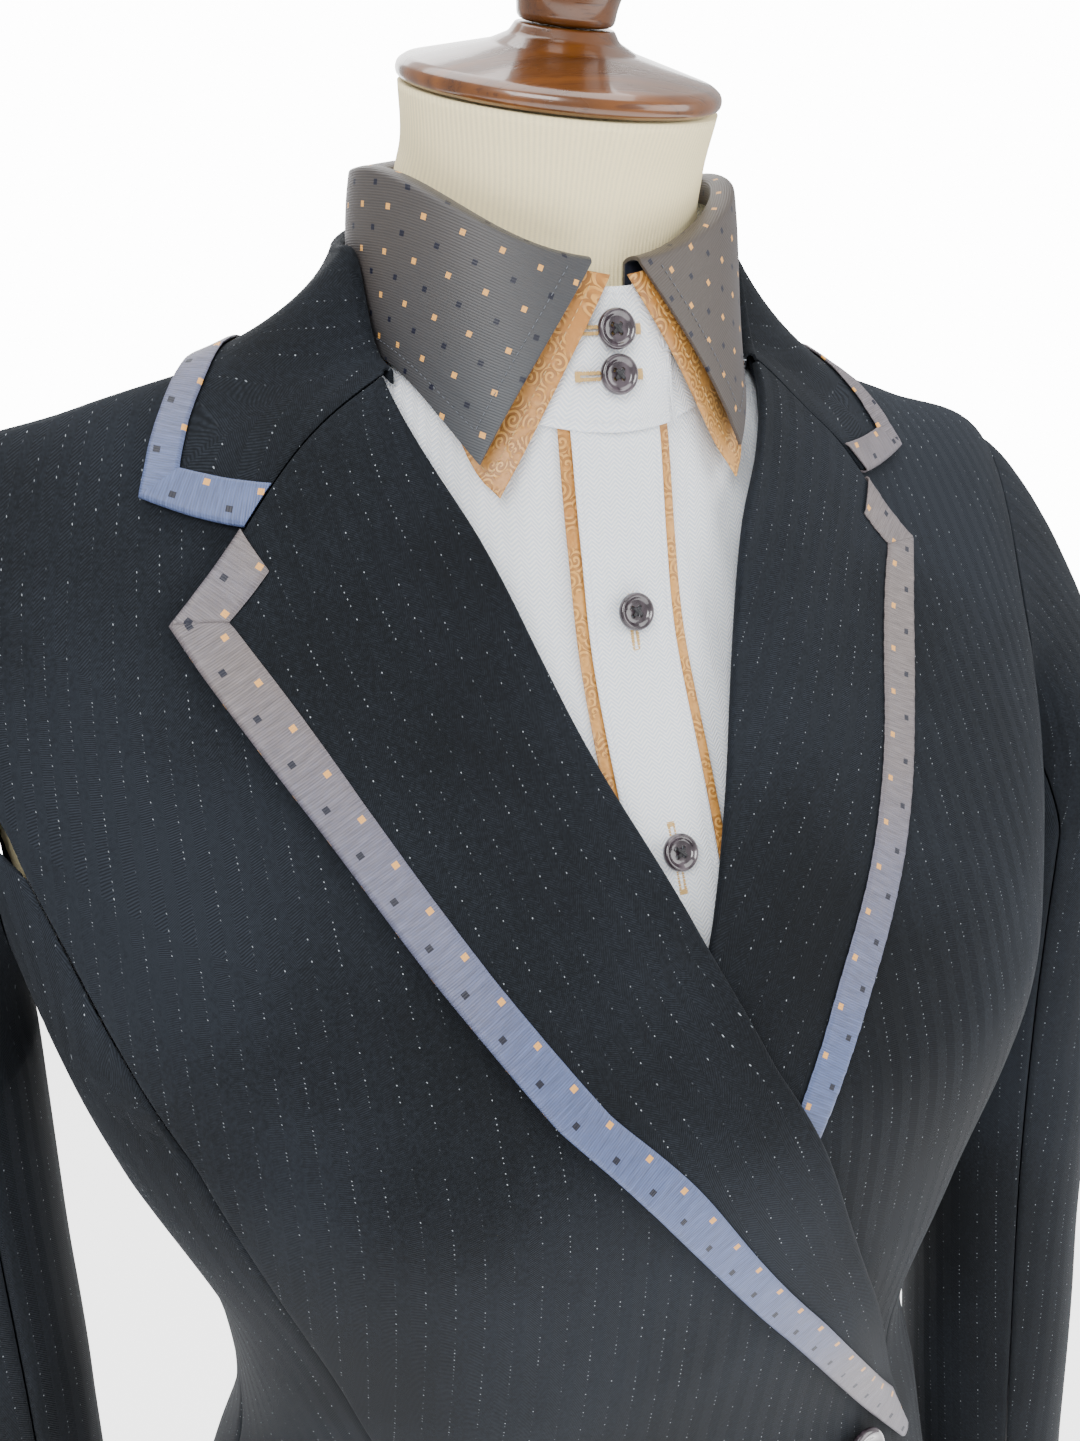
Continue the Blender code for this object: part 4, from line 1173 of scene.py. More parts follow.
def stitches(name: str, lines: Sequence[Sequence[tuple[Vector, Vector]]], finish: Finish,
             length: float, gap: float, radius: float) -> None:
    """Sews running stitches along lines.

    Args:
        name: The piece's name.
        lines: Each a run of (point, outward normal), in mm.
        finish: The thread.
        length: Length of a stitch.
        gap: Space between stitches.
        radius: Half the thread's thickness.
    """
    bm = bmesh.new()
    for line in lines:
        marks = running([p for p, _ in line])
        rows = [(m, *p, *n) for m, (p, n) in zip(marks, line)]
        at = gap
        while at + length < marks[-1]:
            spot = [Vector([along(rows, at + length * s, c) for c in (1, 2, 3)])
                    for s in (0, 1)]
            normal = Vector([along(rows, at + length / 2, c) for c in (4, 5, 6)]).normalized()
            thread(bm, spot[0], spot[1], normal, radius)
            at += length + gap
    put(name, bm, [finish])


def thread(bm: bmesh.types.BMesh, start: Vector, end: Vector, normal: Vector,
           radius: float) -> None:
    """Adds one short thread that dips at both ends.

    Args:
        bm: The mesh that it joins.
        start: Where it comes up, in mm.
        end: Where it goes down.
        normal: Outwards.
        radius: Half its thickness.
    """
    run = end - start
    side = normal.cross(run).normalized()
    frame_of = Matrix((run / 2, side * radius, normal * radius * 0.9)).transposed().to_4x4()
    centre = Matrix.Translation((start + end) / 2 * MM)
    bmesh.ops.create_uvsphere(bm, u_segments=6, v_segments=5, radius=MM,
                              matrix=centre @ frame_of @ Matrix.Rotation(math.pi / 2, 4, "Y"))


# ---------------------------------------------------------------- jacket

@dataclass
class Lapel:
    """A turned-back lapel: u runs from its turn to its free edge, v from its top down."""

    torso: Torso
    side: Side
    turn_line: list[tuple[float, float]]
    edge_line: list[tuple[float, float]]
    lift_of: Callable[[float, float], float]
    lift: float = 3.0
    fold: float = 1.5
    rows: int = 90
    passes: int = 24

    def __post_init__(self) -> None:
        """Respaces and smooths both lines."""
        self.turn = self.smoothed(self.turn_line)
        self.edge = self.smoothed(self.edge_line)
        self.widths = [(t, (self.on(1, t) - self.on(0, t)).length) for t in evenly(self.rows)]

    def smoothed(self, points: list[tuple[float, float]]) -> list[list[float]]:
        """A line respaced evenly on the body, with its corners eased.

        Args:
            points: Its (level, angle) points.

        Returns:
            The new points.
        """
        marks = running([self.torso.at(*p) for p in points])
        rows = [(m, *p) for m, p in zip(marks, points)]
        made = [[along(rows, marks[-1] * t, column) for column in (1, 2)]
                for t in evenly(self.rows)]
        for _ in range(self.passes):
            made = [made[0]] + [[(a + 2 * b + c) / 4 for a, b, c in zip(*near)]
                                for near in zip(made, made[1:], made[2:])] + [made[-1]]
        return made

    def spot(self, u: float, v: float) -> tuple[float, float]:
        """Level and angle of a place on the lapel."""
        start, end = polyline(self.turn, v), polyline(self.edge, v)
        return lerp(start[0], end[0], u), lerp(start[1], end[1], u)

    def on(self, u: float, v: float, lift: float = 0.0) -> Vector:
        """A point above the front that the lapel lies on."""
        level, angle = self.spot(u, v)
        return self.torso.at(level, angle, self.lift_of(level, angle) + lift)

    def width(self, v: float) -> float:
        """Width of the lapel at v."""
        return along(self.widths, v)

    def bend(self, v: float) -> float:
        """Radius of its fold at v."""
        return min(self.fold, 0.3 * self.width(v))

    def at(self, u: float, v: float, lift: float = 0.0) -> Vector:
        """A point of the lapel's top, or with u below 0 of its fold and facing.

        Args:
            u: Share across, or minus the distance in mm back round the fold.
            v: Share down.
            lift: Extra height.

        Returns:
            The point, in mm.
        """
        width, fold = self.width(v), self.bend(v)
        if u >= 0:
            full = 1.0 + 0.35 * math.sin(math.pi * min(1.0, u)) ** 2
            high = lerp(2 * fold, self.lift * full, ease(u * width / 12))
            return self.on(lerp(fold / width, 1, u), v, high + lift)
        gone = -u
        if gone < math.pi * fold:
            turn_by = gone / fold
            return self.on((1 - math.sin(turn_by)) * fold / width, v,
                           fold * (1 + math.cos(turn_by)))
        return self.on((fold + gone - math.pi * fold) / width, v, 0.0)


@dataclass
class Jacket:
    """Fitted wrap jacket, right over left, with notched lapels and brocade bands."""

    torso: Torso
    wall: float = 1.2
    seam_gap: float = 0.35
    overlap_lift: float = 7.6
    turn_back: float = 8.0
    notch_share: float = 0.69
    lapel_size: tuple[float, float] = (85, 420)
    band: float = 11.0
    band_lift: float = 1.1
    band_end: float = 0.985  # share of the lapel's edge that its band runs down
    band_step: float = 2.5
    right_turn: tuple = ((0.12, -69.4), (0.29, -57), (0.81, -39.3), (1.31, -32.6), (1.9, -26.2),
                         (2.6, -16), (3.25, -8.8), (3.6, -5.7), (3.96, -2.2), (4.7, 3.2),
                         (5.48, 8), (6.28, 15.1), (6.8, 22.8), (7.32, 31.4), (7.96, 44.3),
                         (8.4, 49.5), (9, 49.5), (10, 44), (11, 39))
    left_turn: tuple = ((0.12, 69.4), (0.29, 53), (0.81, 34), (1.31, 29), (1.9, 24), (2.6, 14.4),
                        (3.25, 7.6), (3.6, 4.4), (4.0, 0.8), (4.6, -5), (5.4, -12), (6.2, -18),
                        (7, -22), (8, -24), (11, -20))
    right_edge: tuple = ((2.44, -71.3), (2.65, -63.9), (3.0, -55.4), (3.35, -48.9), (3.7, -43.3),
                         (4.1, -37.7), (4.5, -33.1), (4.96, -27.9), (5.5, -22.2), (6.04, -14.8),
                         (6.64, -1.4), (7.32, 17.7), (7.9, 34.1), (8.36, 43.8), (8.66, 48.6))
    left_edge: tuple = ((2.28, 70.0), (2.45, 64.8), (2.9, 55.8), (3.28, 49.2), (3.69, 41.8),
                        (4.25, 32.5), (4.8, 24), (5.44, 17.3), (6.04, 11.5), (6.4, 4), (6.6, -3))
    right_end: float = 8.6
    left_end: float = 6.6
    side_top: float = 4.26
    front_plumb: float = 96.0  # X of the front's warp thread that hangs plumb, in mm
    front_seam: tuple = ((4.15, 75.2), (4.45, 70.5), (4.9, 65.5), (5.4, 60.5), (6.1, 57),
                         (7, 54), (8, 52), (9.5, 53), (11, 55))
    back_seam: tuple = ((4.1, 105), (4.5, 113), (5, 121), (6, 131), (7, 137), (8, 140), (11, 140))
    collar_rows: tuple = ((69.9, 1.70, 70.9), (72, 1.86, 74.8), (75, 2.02, 78.8),
                          (80, 1.80, 80.9), (85, 1.46, 85), (92, 1.20, 91), (101, 1.07, 101),
                          (111, 0.99, 111), (121, 0.94, 121), (132, 0.90, 132),
                          (144, 0.87, 144), (156, 0.84, 156), (168, 0.81, 168), (180, 0.8, 180))
    collar_turn: Ring = Ring(1291, 1461, 1476, 66.5, -47, 71, 8, 2.0, 2.0)
    collar_bow: float = -2.5
    collar_lift: float = 3.0
    left_collar_rise: float = 0.1
    turn_radius: float = 2.2
    collar_corner: int = 2
    sleeve: tuple = ((1235, 222, 4, 37.5, 54), (1150, 223.5, 2, 39, 51), (1060, 223.5, -5, 38, 47),
                     (940, 223, -19, 36, 42), (815, 222, -34, 34, 38))
    sleeve_seams: tuple[float, float] = (120.0, 235.0)
    sleeve_x: float = 228.0
    head_rows: int = 5
    armhole_centre: Vector = field(default_factory=lambda: Vector((190, 8, 1325)))
    right_head: float = -8.0  # first rise of each sleeve's head beyond the shoulder
    left_head: float = -3.0
    button_at: tuple[float, float] = (8.42, 35.0)
    step: float = 4.0

    def __post_init__(self) -> None:
        """Lays out both lapels."""
        self.lapels = {side: self.lapel(side) for side in Side}

    def of(self, side: Side, name: str) -> object:
        """One side's own value of a size that both sides have."""
        return getattr(self, f"{side.hand}_{name}")

    def front_lift(self, side: Side, level: float, angle: float) -> float:
        """How far a front stands out to pass over the other."""
        if side is Side.LEFT:
            return 0.0
        return self.overlap_lift * ease((level - 2.3) / 1.5) * ease((angle + 60) / 28)

    def lapel(self, side: Side) -> Lapel:
        """Lays out one lapel."""
        line, end = self.of(side, "turn"), self.of(side, "end")
        top = [p for p in line if p[0] < end] + [(end, along(line, end))]
        return Lapel(self.torso, side, top, self.of(side, "edge"),
                     lambda level, angle: self.front_lift(side, level, angle))

    def turned_back(self, side: Side, level: float) -> float:
        """How far a front stops short of its lapel's turn."""
        return self.turn_back * ease((self.of(side, "end") - level) / 0.3)

    def panel(self, name: str, levels: list[float], inner: Callable[[float], float],
              outer: Callable[[float], float], grain: Grain, rims: tuple[bool, bool],
              lift: Callable[[float, float], float], width: float) -> None:
        """Cuts a panel between two lines on the torso.

        Args:
            name: The CAD node that it stands for.
            levels: Its rows.
            inner: Signed angle of its first edge at a level.
            outer: Signed angle of its last edge.
            grain: How it was cut.
            rims: Whether the first and last edges are seams, which roll in.
            lift: Height of the cloth over the torso.
            width: Its usual width, in mm.
        """
        torso, seed = self.torso, float(len(name))

        @lru_cache(maxsize=None)
        def edges(level: float) -> tuple[float, float, float]:
            """Both angles at a level and the width between them, in mm."""
            start, end = inner(level), outer(level)
            half = torso.degrees(self.seam_gap / 2, level, end)
            sense = 1 if end > start else -1
            start, end = start + sense * half, end - sense * half
            return start, end, abs(end - start) / torso.degrees(1, level, end)

        def place(u: float, level: float) -> Vector:
            """A point of the panel."""
            start, end, across = edges(level)
            angle = lerp(start, end, u)
            rolled = tuck(u * across) if rims[0] else 0.0
            rolled += tuck((1 - u) * across) if rims[1] else 0.0
            at = torso.skin(level, angle, Layer.JACKET)
            uneven = ripple(at, 70, 0.9, seed) + ripple(at, 24, 0.25, seed)
            return at + torso.normal(level, angle) * (lift(level, angle) + rolled + uneven)

        Sheet(name, place, shares(width, self.step, ends=rims), levels, grain=grain,
              wall=self.wall).cut(WOOL, Held.HUNG, ["shirt_back_cloth"], LINING)

    def body(self) -> None:
        """Cuts the eight panels of the jacket's body."""
        torso, none = self.torso, lambda level, angle: 0.0
        levels = torso.levels(torso.neck, torso.hem, self.step)
        side_levels = torso.levels(self.side_top, torso.hem, self.step)
        for side in Side:
            s = side.value

            def inner(level: float, side: Side = side) -> float:
                """Inner edge of the front."""
                angle = softly(self.of(side, "turn"), level)
                return angle + side.value * torso.degrees(self.turned_back(side, level), level,
                                                          angle)

            def seam(level: float, end: int, s: int = s) -> float:
                """Princess seam of the front, end 1, or of the back, end -1."""
                return s * softly(self.front_seam if end > 0 else self.back_seam, level)

            def hole(level: float, end: int, s: int = s) -> float:
                """Armhole or, under the arm, the side seam."""
                return s * torso.armhole(level, end)

            def outer(level: float, end: int, top: float) -> float:
                """Outer edge of a front or back: the armhole down to a level, then the seam."""
                return hole(level, end) if level < top else seam(level, end)

            self.panel(f"front_{side.hand}", levels, inner, lambda k: outer(k, 1, 4.1),
                       Grain(plumb=s * self.front_plumb), (False, True),
                       lambda k, a, side=side: self.front_lift(side, k, a), 150)
            self.panel(f"side_front_{side.hand}", side_levels, lambda k: seam(k, 1),
                       lambda k: hole(k, 1), Grain(), (True, True), none, 60)
            self.panel(f"side_back_{side.hand}", side_levels, lambda k: hole(k, -1),
                       lambda k: seam(k, -1), Grain(), (True, True), none, 80)
            self.panel(f"back_{side.hand}", levels, lambda k: outer(k, -1, 4.05),
                       lambda k, s=s: s * 180.0, Grain(plumb=0.0), (True, True), none, 110)

    def turned_lapels(self) -> None:
        """Cuts both lapels with their folds, and their bands."""
        for side, lapel in self.lapels.items():

            def place(u: float, v: float, lapel: Lapel = lapel, side: Side = side) -> Vector:
                """A point of the lapel; u from -2 to -1 is the facing, -1 to 0 the fold."""
                if u >= 0:
                    return lapel.at(u, v)
                fold = math.pi * lapel.bend(v)
                if u >= -1:
                    return lapel.at(u * fold, v)
                level = lapel.spot(0, v)[0]
                facing = max(0.2, self.turned_back(side, level) - lapel.fold - 0.8)
                return lapel.at(-fold - 0.01 + (u + 1) * facing, v)

            width, length = self.lapel_size
            columns = [-2, -1.5, *(-1 + i / 8 for i in range(8)), *shares(width, self.step)]
            rows = shares(length, self.step)
            turned = 12.0 if side is Side.RIGHT else -4.0
            Sheet(f"lapel_{side.hand}", place, columns, rows, wall=1.0, even=False,
                  grain=Grain(column=1.0, turn=turned, shift=(3.0, 0))).cut(
                WOOL, Held.FOLDED, [f"front_{side.hand}_cloth"])
            self.lapel_band(lapel)

    def lapel_band(self, lapel: Lapel) -> None:
        """Lays the brocade band along the top of a lapel beyond the notch and down its edge."""
        inner_u = 1 - self.band / lapel.width(0)
        drop = self.band / (lapel.on(1, 1) - lapel.on(1, 0)).length
        for _ in range(8):
            drop *= self.band / (lapel.on(1, drop) - lapel.on(1, 0)).length
        notch, length = self.notch_share + 0.015, self.lapel_size[1] + 20
        arm = [((lerp(notch, 1, t), 0.0), (lerp(notch, inner_u, t), drop))
               for t in shares(30, self.band_step)]
        run = [((1.0, self.band_end * t),
                (max(0.12, 1 - self.band / lapel.width(max(drop, t))), max(drop, self.band_end * t)))
               for t in shares(length, self.band_step) if self.band_end * t > drop * 1.01]
        rows = arm + run

        def place(u: float, t: float) -> Vector:
            """A point of the band; u below 0 wraps round the free edge."""
            outer, inner = rows[int(t)]
            top, near = [[lerp(a, b, share) for a, b in zip(outer, inner)]
                         for share in (max(0, u), 0.05)]
            pucker = 0.16 * math.sin(t * 1.9) * math.sin(t * 0.63 + 1.0)
            corner = math.exp(-((t - len(arm) + 1) / 0.6) ** 2) * -0.35
            high = self.band_lift + pucker + corner + tuck((1 - u) * self.band, 0.5, 1.2)
            if u >= 0:
                return lapel.at(*top, high)
            base, inside = lapel.at(*top, 0.0), lapel.at(*near, 0.0)
            out = (base - inside).normalized()
            up = (lapel.at(*top, 1.0) - base).normalized()
            round_by, radius = -u * math.pi, 0.5 * (self.band_lift + 1.9)
            return base + out * (0.1 + radius * math.sin(round_by)) + up * (
                high - radius * (1 - math.cos(round_by)))

        # Painted sheen along the band by row: where the shot silk shows its bluer colour.
        painted_sheens = ([(0, 0.1), (8, 0.25), (22, 0.15), (45, 0.35), (80, 0.85), (120, 0.75),
                  (165, 0.25), (190, 0.35)] if lapel.side is Side.RIGHT else
                 [(0, 0.0), (30, 0.05), (70, 0.15), (100, 0.5), (140, 0.95), (180, 0.6)])
        Sheet(f"lapel_trim_{lapel.side.hand}", place,
              [-1, -0.8, -0.6, -0.4, -0.2, *evenly(12)],
              [float(i) for i in range(len(rows))], wall=0.5, even=False,
              grain=Grain(column=0.5, shift=(1.2, 4.0)),
              tone=lambda u, t: along(painted_sheens, t)).cut(
            BAND, Held.FOLDED, [f"lapel_{lapel.side.hand}_cloth"])

    def collar_row(self, share: float) -> list[float]:
        """Turn angle and edge level and angle, share 0 at the front end, 1 at the back."""
        place, corner = share * (len(self.collar_rows) - 1), self.collar_corner
        if place <= corner:
            return polyline(self.collar_rows[:corner + 1], place / corner)
        return curve(self.collar_rows[corner:], place - corner)

    @staticmethod
    def radial(point: Vector) -> Vector:
        """Level direction away from the neck's axis."""
        return Vector((point.x, point.y - 10, 0)).normalized()

    def collar_fall(self, share: float, u: float, sign: int, out: float = 0.0) -> Vector:
        """The collar outside its turn, u 0 at the turn and 1 at the edge, lifted by out."""
        if out:
            at, step = self.collar_fall(share, u, sign), 0.01
            down = (self.collar_fall(share, min(1.0, u + step), sign)
                    - self.collar_fall(share, max(0.0, u - step), sign))
            side = (self.collar_fall(min(1.0, share + step), u, sign)
                    - self.collar_fall(max(0.0, share - step), u, sign))
            normal = down.cross(side).normalized()
            return at + normal * math.copysign(out, out * normal.dot(self.radial(at) + UP))
        turn_angle, edge_level, edge_angle = self.collar_row(share)
        edge_level -= self.left_collar_rise if sign > 0 else 0.0
        hug = self.torso.at(lerp(self.torso.neck, edge_level, u),
                            sign * lerp(turn_angle, edge_angle, u), self.collar_lift)
        top = self.collar_turn.point(sign * turn_angle, self.torso.ridge_power
                                     if turn_angle < 90 else self.torso.yoke_power)
        top += self.radial(top) * self.turn_radius
        edge = self.torso.at(edge_level, sign * edge_angle, self.collar_lift)
        bow = (UP + self.radial(top)) * (self.collar_bow * 4 * u * (1 - u))
        bridge = lerp(top, edge, u) + bow
        return lerp(hug, bridge, ease((turn_angle - 70.5) / 17))

    def collar_point(self, u: float, v: float) -> Vector:
        """A point of the collar: v from the right end round the back to the left end.

        Args:
            u: 0 to 1 down the fall, 0 to -1 round the fold, -1 to -2 down the stand.
            v: Share round.

        Returns:
            The point, in mm.
        """
        sign, share = halves(v)
        if u >= 0:
            return self.collar_fall(share, u, sign)
        outer = self.collar_fall(share, 0, sign)
        inwards, radius = -self.radial(outer), self.turn_radius
        if u >= -1:
            by = -u * math.pi
            return outer + inwards * radius * (1 - math.cos(by)) + UP * 0.8 * radius * math.sin(by)
        depth = lerp(3.0, 27.0, ease((self.collar_row(share)[0] - 72) / 24))
        return outer + inwards * 2 * radius + UP * (u + 1) * depth

    def collar(self) -> None:
        """Cuts the notched collar and its band."""
        corner = self.collar_corner / (len(self.collar_rows) - 1) / 2
        half = sorted({*(corner * i / 7 for i in range(8)),
                       *(lerp(corner, 0.5, t) for t in evenly(62))})
        rows = half + [1 - s for s in reversed(half[:-1])]
        outward = lambda c: self.radial(c) + UP  # noqa: E731
        columns = [*(-2 + i / 6 for i in range(6)), *(-1 + i / 8 for i in range(8)),
                   *shares(52, self.step)]
        Sheet("jacket_collar", self.collar_point, columns, rows, outward,
              Grain(column=0.6, turn=90), wall=1.0, even=False).cut(
            WOOL, Held.FOLDED, ["back_right_cloth", "back_left_cloth"])

        def band(u: float, v: float) -> Vector:
            """A point of the band; u below 0 wraps round the collar's edge."""
            sign, share = halves(v)
            fall = (self.collar_fall(share, 1, sign) - self.collar_fall(share, 0, sign)).length
            pucker = 0.14 * math.sin(v * 310) * math.sin(v * 97)
            high = self.band_lift + 0.5 + pucker + tuck((1 - u) * self.band, 0.5, 1.2)
            inset = 1 - max(0.0, u) * self.band / fall
            top = self.collar_fall(share, inset, sign, high)
            if u >= 0:
                return top
            base = self.collar_fall(share, 1, sign)
            out = (base - self.collar_fall(share, 0.95, sign)).normalized()
            up = (top - base).normalized()
            by, radius = -u * math.pi, 0.5 * (self.band_lift + 2.0)
            return top + out * radius * math.sin(by) - up * radius * (1 - math.cos(by))

        # Painted sheen round the band: bluest at the right front end.
        painted_sheens = [(0, 0.9), (0.1, 0.75), (0.2, 0.3), (0.8, 0.2), (1, 0.1)]
        Sheet("collar_trim", band, [-1, -0.75, -0.5, -0.25, *evenly(12)], rows, outward,
              Grain(shift=(1.2, 9.0)), lambda u, v: along(painted_sheens, v), 0.5, False).cut(
            BAND, Held.FOLDED, ["jacket_collar_cloth"])

    def sleeve_ring(self, row: Sequence[float], around: float) -> Vector:
        """A point of one level ring of the left sleeve."""
        height, centre_x, centre_y, half_x, half_y = row
        a = math.radians(around)
        return Vector((centre_x + half_x * math.cos(a), centre_y - half_y * math.sin(a), height))

    def sleeve_point(self, around: float, v: float, side: Side) -> Vector:
        """A point of a sleeve, the right one's mirrored.

        Args:
            around: 0 outside, 90 in front, in degrees.
            v: 0 at the armhole, 1 at the cuff.
            side: Whose sleeve.

        Returns:
            The point, in mm.
        """
        a = math.radians(around)
        torso = self.torso
        level = lerp(torso.shoulder_tip, torso.underarm, (1 - math.cos(a)) / 2)
        hole = torso.at(level, side.value * torso.armhole(level, 1 if math.sin(a) >= 0 else -1))
        hole.x *= side.value
        hole += (self.armhole_centre - hole).normalized() * 0.6 + Vector((0.4, 0, 0))
        place = v * (self.head_rows + 2 * (len(self.sleeve) - 1))
        bicep = self.sleeve_ring(self.sleeve[0], around)
        if place <= self.head_rows:
            s, top = place / self.head_rows, (1 + math.cos(a)) / 2
            first = hole + Vector((lerp(3, 16, top), 0, lerp(-4, self.of(side, "head"), top)))
            second = bicep + UP * lerp(3, 0.52 * (hole.z - bicep.z), top ** 0.5)
            return (hole * (1 - s) ** 3 + first * 3 * s * (1 - s) ** 2
                    + second * 3 * s * s * (1 - s) + bicep * s ** 3)
        return self.sleeve_ring(curve(self.sleeve, (place - self.head_rows) / 2), around)

    def sleeves(self) -> None:
        """Cuts the two pieces of each sleeve."""
        front, back = self.sleeve_seams
        spans = {"upper_sleeve": (back - 360, front, 170), "under_sleeve": (front, back, 80)}
        for side in Side:
            for name, (start, end, width) in spans.items():

                def place(u: float, v: float, side: Side = side, start: float = start,
                          end: float = end, width: float = width) -> Vector:
                    """A point of the piece, rolled in at its seams and armhole."""
                    around = lerp(start + 0.25, end - 0.25, u)
                    at = self.sleeve_point(around, v, side)
                    a = math.radians(around)
                    out = Vector((math.cos(a), -math.sin(a), 0))
                    rolled = tuck(u * width) + tuck((1 - u) * width)
                    free = ease(v * 6)
                    uneven = free * (ripple(at, 60, 2.2, side.value * 7.0) + ripple(at, 26, 0.5))
                    at += out * (rolled * free + uneven)
                    return Vector((at.x * side.value, at.y, at.z))

                Sheet(f"{name}_{side.hand}", place, shares(width, self.step), evenly(130),
                      lambda c, side=side: Vector((c.x - side.value * self.sleeve_x, c.y, 0)),
                      wall=self.wall).cut(
                    WOOL, Held.HUNG, [f"{part}_{side.hand}_cloth" for part in ("front", "back")],
                    LINING)

    def build(self) -> None:
        """Makes the whole jacket."""
        self.body()
        self.turned_lapels()
        self.collar()
        self.sleeves()
        level, angle = self.button_at
        at = self.torso.at(level, angle, self.front_lift(Side.RIGHT, level, angle) + 1.4)
        Button(12.5, 4.0).sew("jacket_button", at, self.torso.normal(level, angle))


# ---------------------------------------------------------------- shirt

@dataclass
class Shirt:
    """White shirt with a copper-edged placket and a two-layer collar on a buttoned stand."""

    torso: Torso
    hem: float = 10.5
    seam_gap: float = 1.4
    placket_half: float = 15.0
    placket_trim: float = 3.4
    placket_lift: float = 2.0
    placket_shift: float = -1.0
    stand_top: Ring = Ring(1450, 1477, 1485, 57, -39.6, 54, 10, 2.0, 2.0)
    leaf_top: Ring = Ring(1456, 1483, 1491, 61.5, -45.2, 59.5, 11, 2.0, 2.0)
    leaf_edge: Ring = Ring(1371, 1433, 1446, 62, -64, 61, 9, 2.0, 2.0)
    leaf_bow: float = 3.0
    leaf_start: float = 8.0
    leaf_tip: float = 41.0
    lip_in: float = 3.3
    border: float = 12.0
    border_front: dict = field(default_factory=lambda: {-1: (8.5, 13.0), 1: (5.5, 8.5)})
    stand_start: float = 10.0
    stand_overlap: float = 22.0
    stand_lap: float = 2.1
    stand_foot: tuple[float, float] = (1.0, 2.2)  # how far its foot spreads out and down
    stand_corner: float = 12.5
    stand_slope: float = 19.0
    stand_buttons: tuple[float, float] = (0.69, 0.36)
    placket_buttons: tuple[float, float] = (1.66, 3.43)

    def angle(self, level: float, u: float, side: int, gap: float) -> float:
        """Angle at share u of the way round a quarter of the shirt, side 1 front, -1 back."""
        start = 0.0 if side > 0 else 180.0
        end = self.torso.armhole(level, side) if level < self.torso.underarm else 90.0
        half = self.torso.degrees(gap, level, 60)
        return lerp(start + side * half, end - side * half, u)

    def skin(self, angle: float, level: float) -> Vector:
        """A point of the shirt's body, with soft creases fanning down from the collar."""
        at = self.torso.skin(level, angle, Layer.SHIRT)
        near = ease(level / 0.6) * ease((5.2 - level) / 1.5)
        crease = math.sin(angle * 0.42 + 1.2 * math.sin(level * 1.7)) * 0.35 * near
        lift = crease + (ripple(at, 38, 0.8, 5.0) - 0.3) * ease(level / 0.5)
        drop = 1.1 * (1 - ease(level / 0.3))
        return at + self.torso.normal(level, angle, Layer.SHIRT) * lift - UP * drop

    def body(self) -> None:
        """Cuts the two fronts and the back."""
        levels, columns = self.torso.levels(0.0, self.hem, 5.0), evenly(34)
        for side in Side:
            Sheet(f"shirt_front_{side.hand}",
                  lambda u, k, s=side.value: self.skin(s * self.angle(k, u, 1, self.seam_gap), k),
                  columns, levels, grain=Grain(plumb=side.value * 40.0), wall=0.7).cut(
                COTTON, Held.HUNG, ["form_body_knit"])

        def back(u: float, level: float) -> Vector:
            """A point of the back, round from the wearer's left to the right."""
            share = halves(u)[1]
            angle = self.angle(level, 1 - share, -1, self.seam_gap if share < 0.5 else 0.0)
            return self.skin(angle if u < 0.5 else 360 - angle, level)

        Sheet("shirt_back", back, evenly(60), levels, grain=Grain(plumb=0.0), wall=0.7).cut(
            COTTON, Held.HUNG, ["form_body_knit"])

    def placket_at(self, level: float, x: float, lift: float) -> Vector:
        """A point of the placket, x mm from its middle."""
        ring = self.torso.ring(level, Layer.SHIRT)
        centre = self.placket_shift * (1 - ring.shirt_side)
        angle = math.degrees(math.atan2(x + centre, ring.side_y - ring.front_y))
        uneven = 0.5 * math.sin(level * 2.3 + x * 0.06) * ease(level / 0.8)
        tucked = lerp(0.3, 1.0, ease(level / 0.3))
        return self.torso.at(level, angle, lift * tucked + uneven, Layer.SHIRT)

    def placket(self) -> None:
        """Cuts the placket and its copper strips, and stitches both edges."""
        levels = self.torso.levels(0.0, self.hem, 4.0)
        half = self.placket_half

        def strip(u: float, level: float) -> Vector:
            """A point of the placket, rolled under at both edges."""
            x = lerp(-half, half, u)
            rolled = tuck(half - abs(x), 0.5, 1.6) - 0.22 * math.exp(-((half - abs(x) - 2.2)
                                                                      / 0.7) ** 2)
            return self.placket_at(level, x, self.placket_lift + 0.3 + rolled)

        Sheet("placket", strip, shares(2 * half, 2.0, (0.5, 1.1, 1.7, 2.2, 2.8, 3.6)),
              levels, wall=0.8).cut(COTTON, Held.FOLDED, ["shirt_front_right_cloth"])
        for side in Side:
            near, far = half - 0.8, half + 0.7 + self.placket_trim

            def trim(u: float, level: float, s: int = side.value) -> Vector:
                """A point of a copper strip, tucked under the placket's edge."""
                x = lerp(near, far, u)
                return self.placket_at(level, s * x, lerp(0.75, 1.35, ease((x - near) / 2.5))
                                       + tuck(far - x, 0.4, 1.0))

            Sheet(f"placket_trim_{side.hand}", trim,
                  [0, 0.15, 0.3, 0.45, 0.6, 0.75, 0.88, 0.95, 1], levels, wall=0.6).cut(
                COPPER, Held.FOLDED, ["placket_cloth"])
        fine = self.torso.levels(0.25, self.hem, 3.0)
        rows = [[(self.placket_at(k, s * (half - 2.2), self.placket_lift + 0.28),
                  self.torso.normal(k, 0, Layer.SHIRT)) for k in fine] for s in (-1, 1)]
        stitches("placket_stitching", rows, WHITE_THREAD, 1.7, 0.9, 0.2)

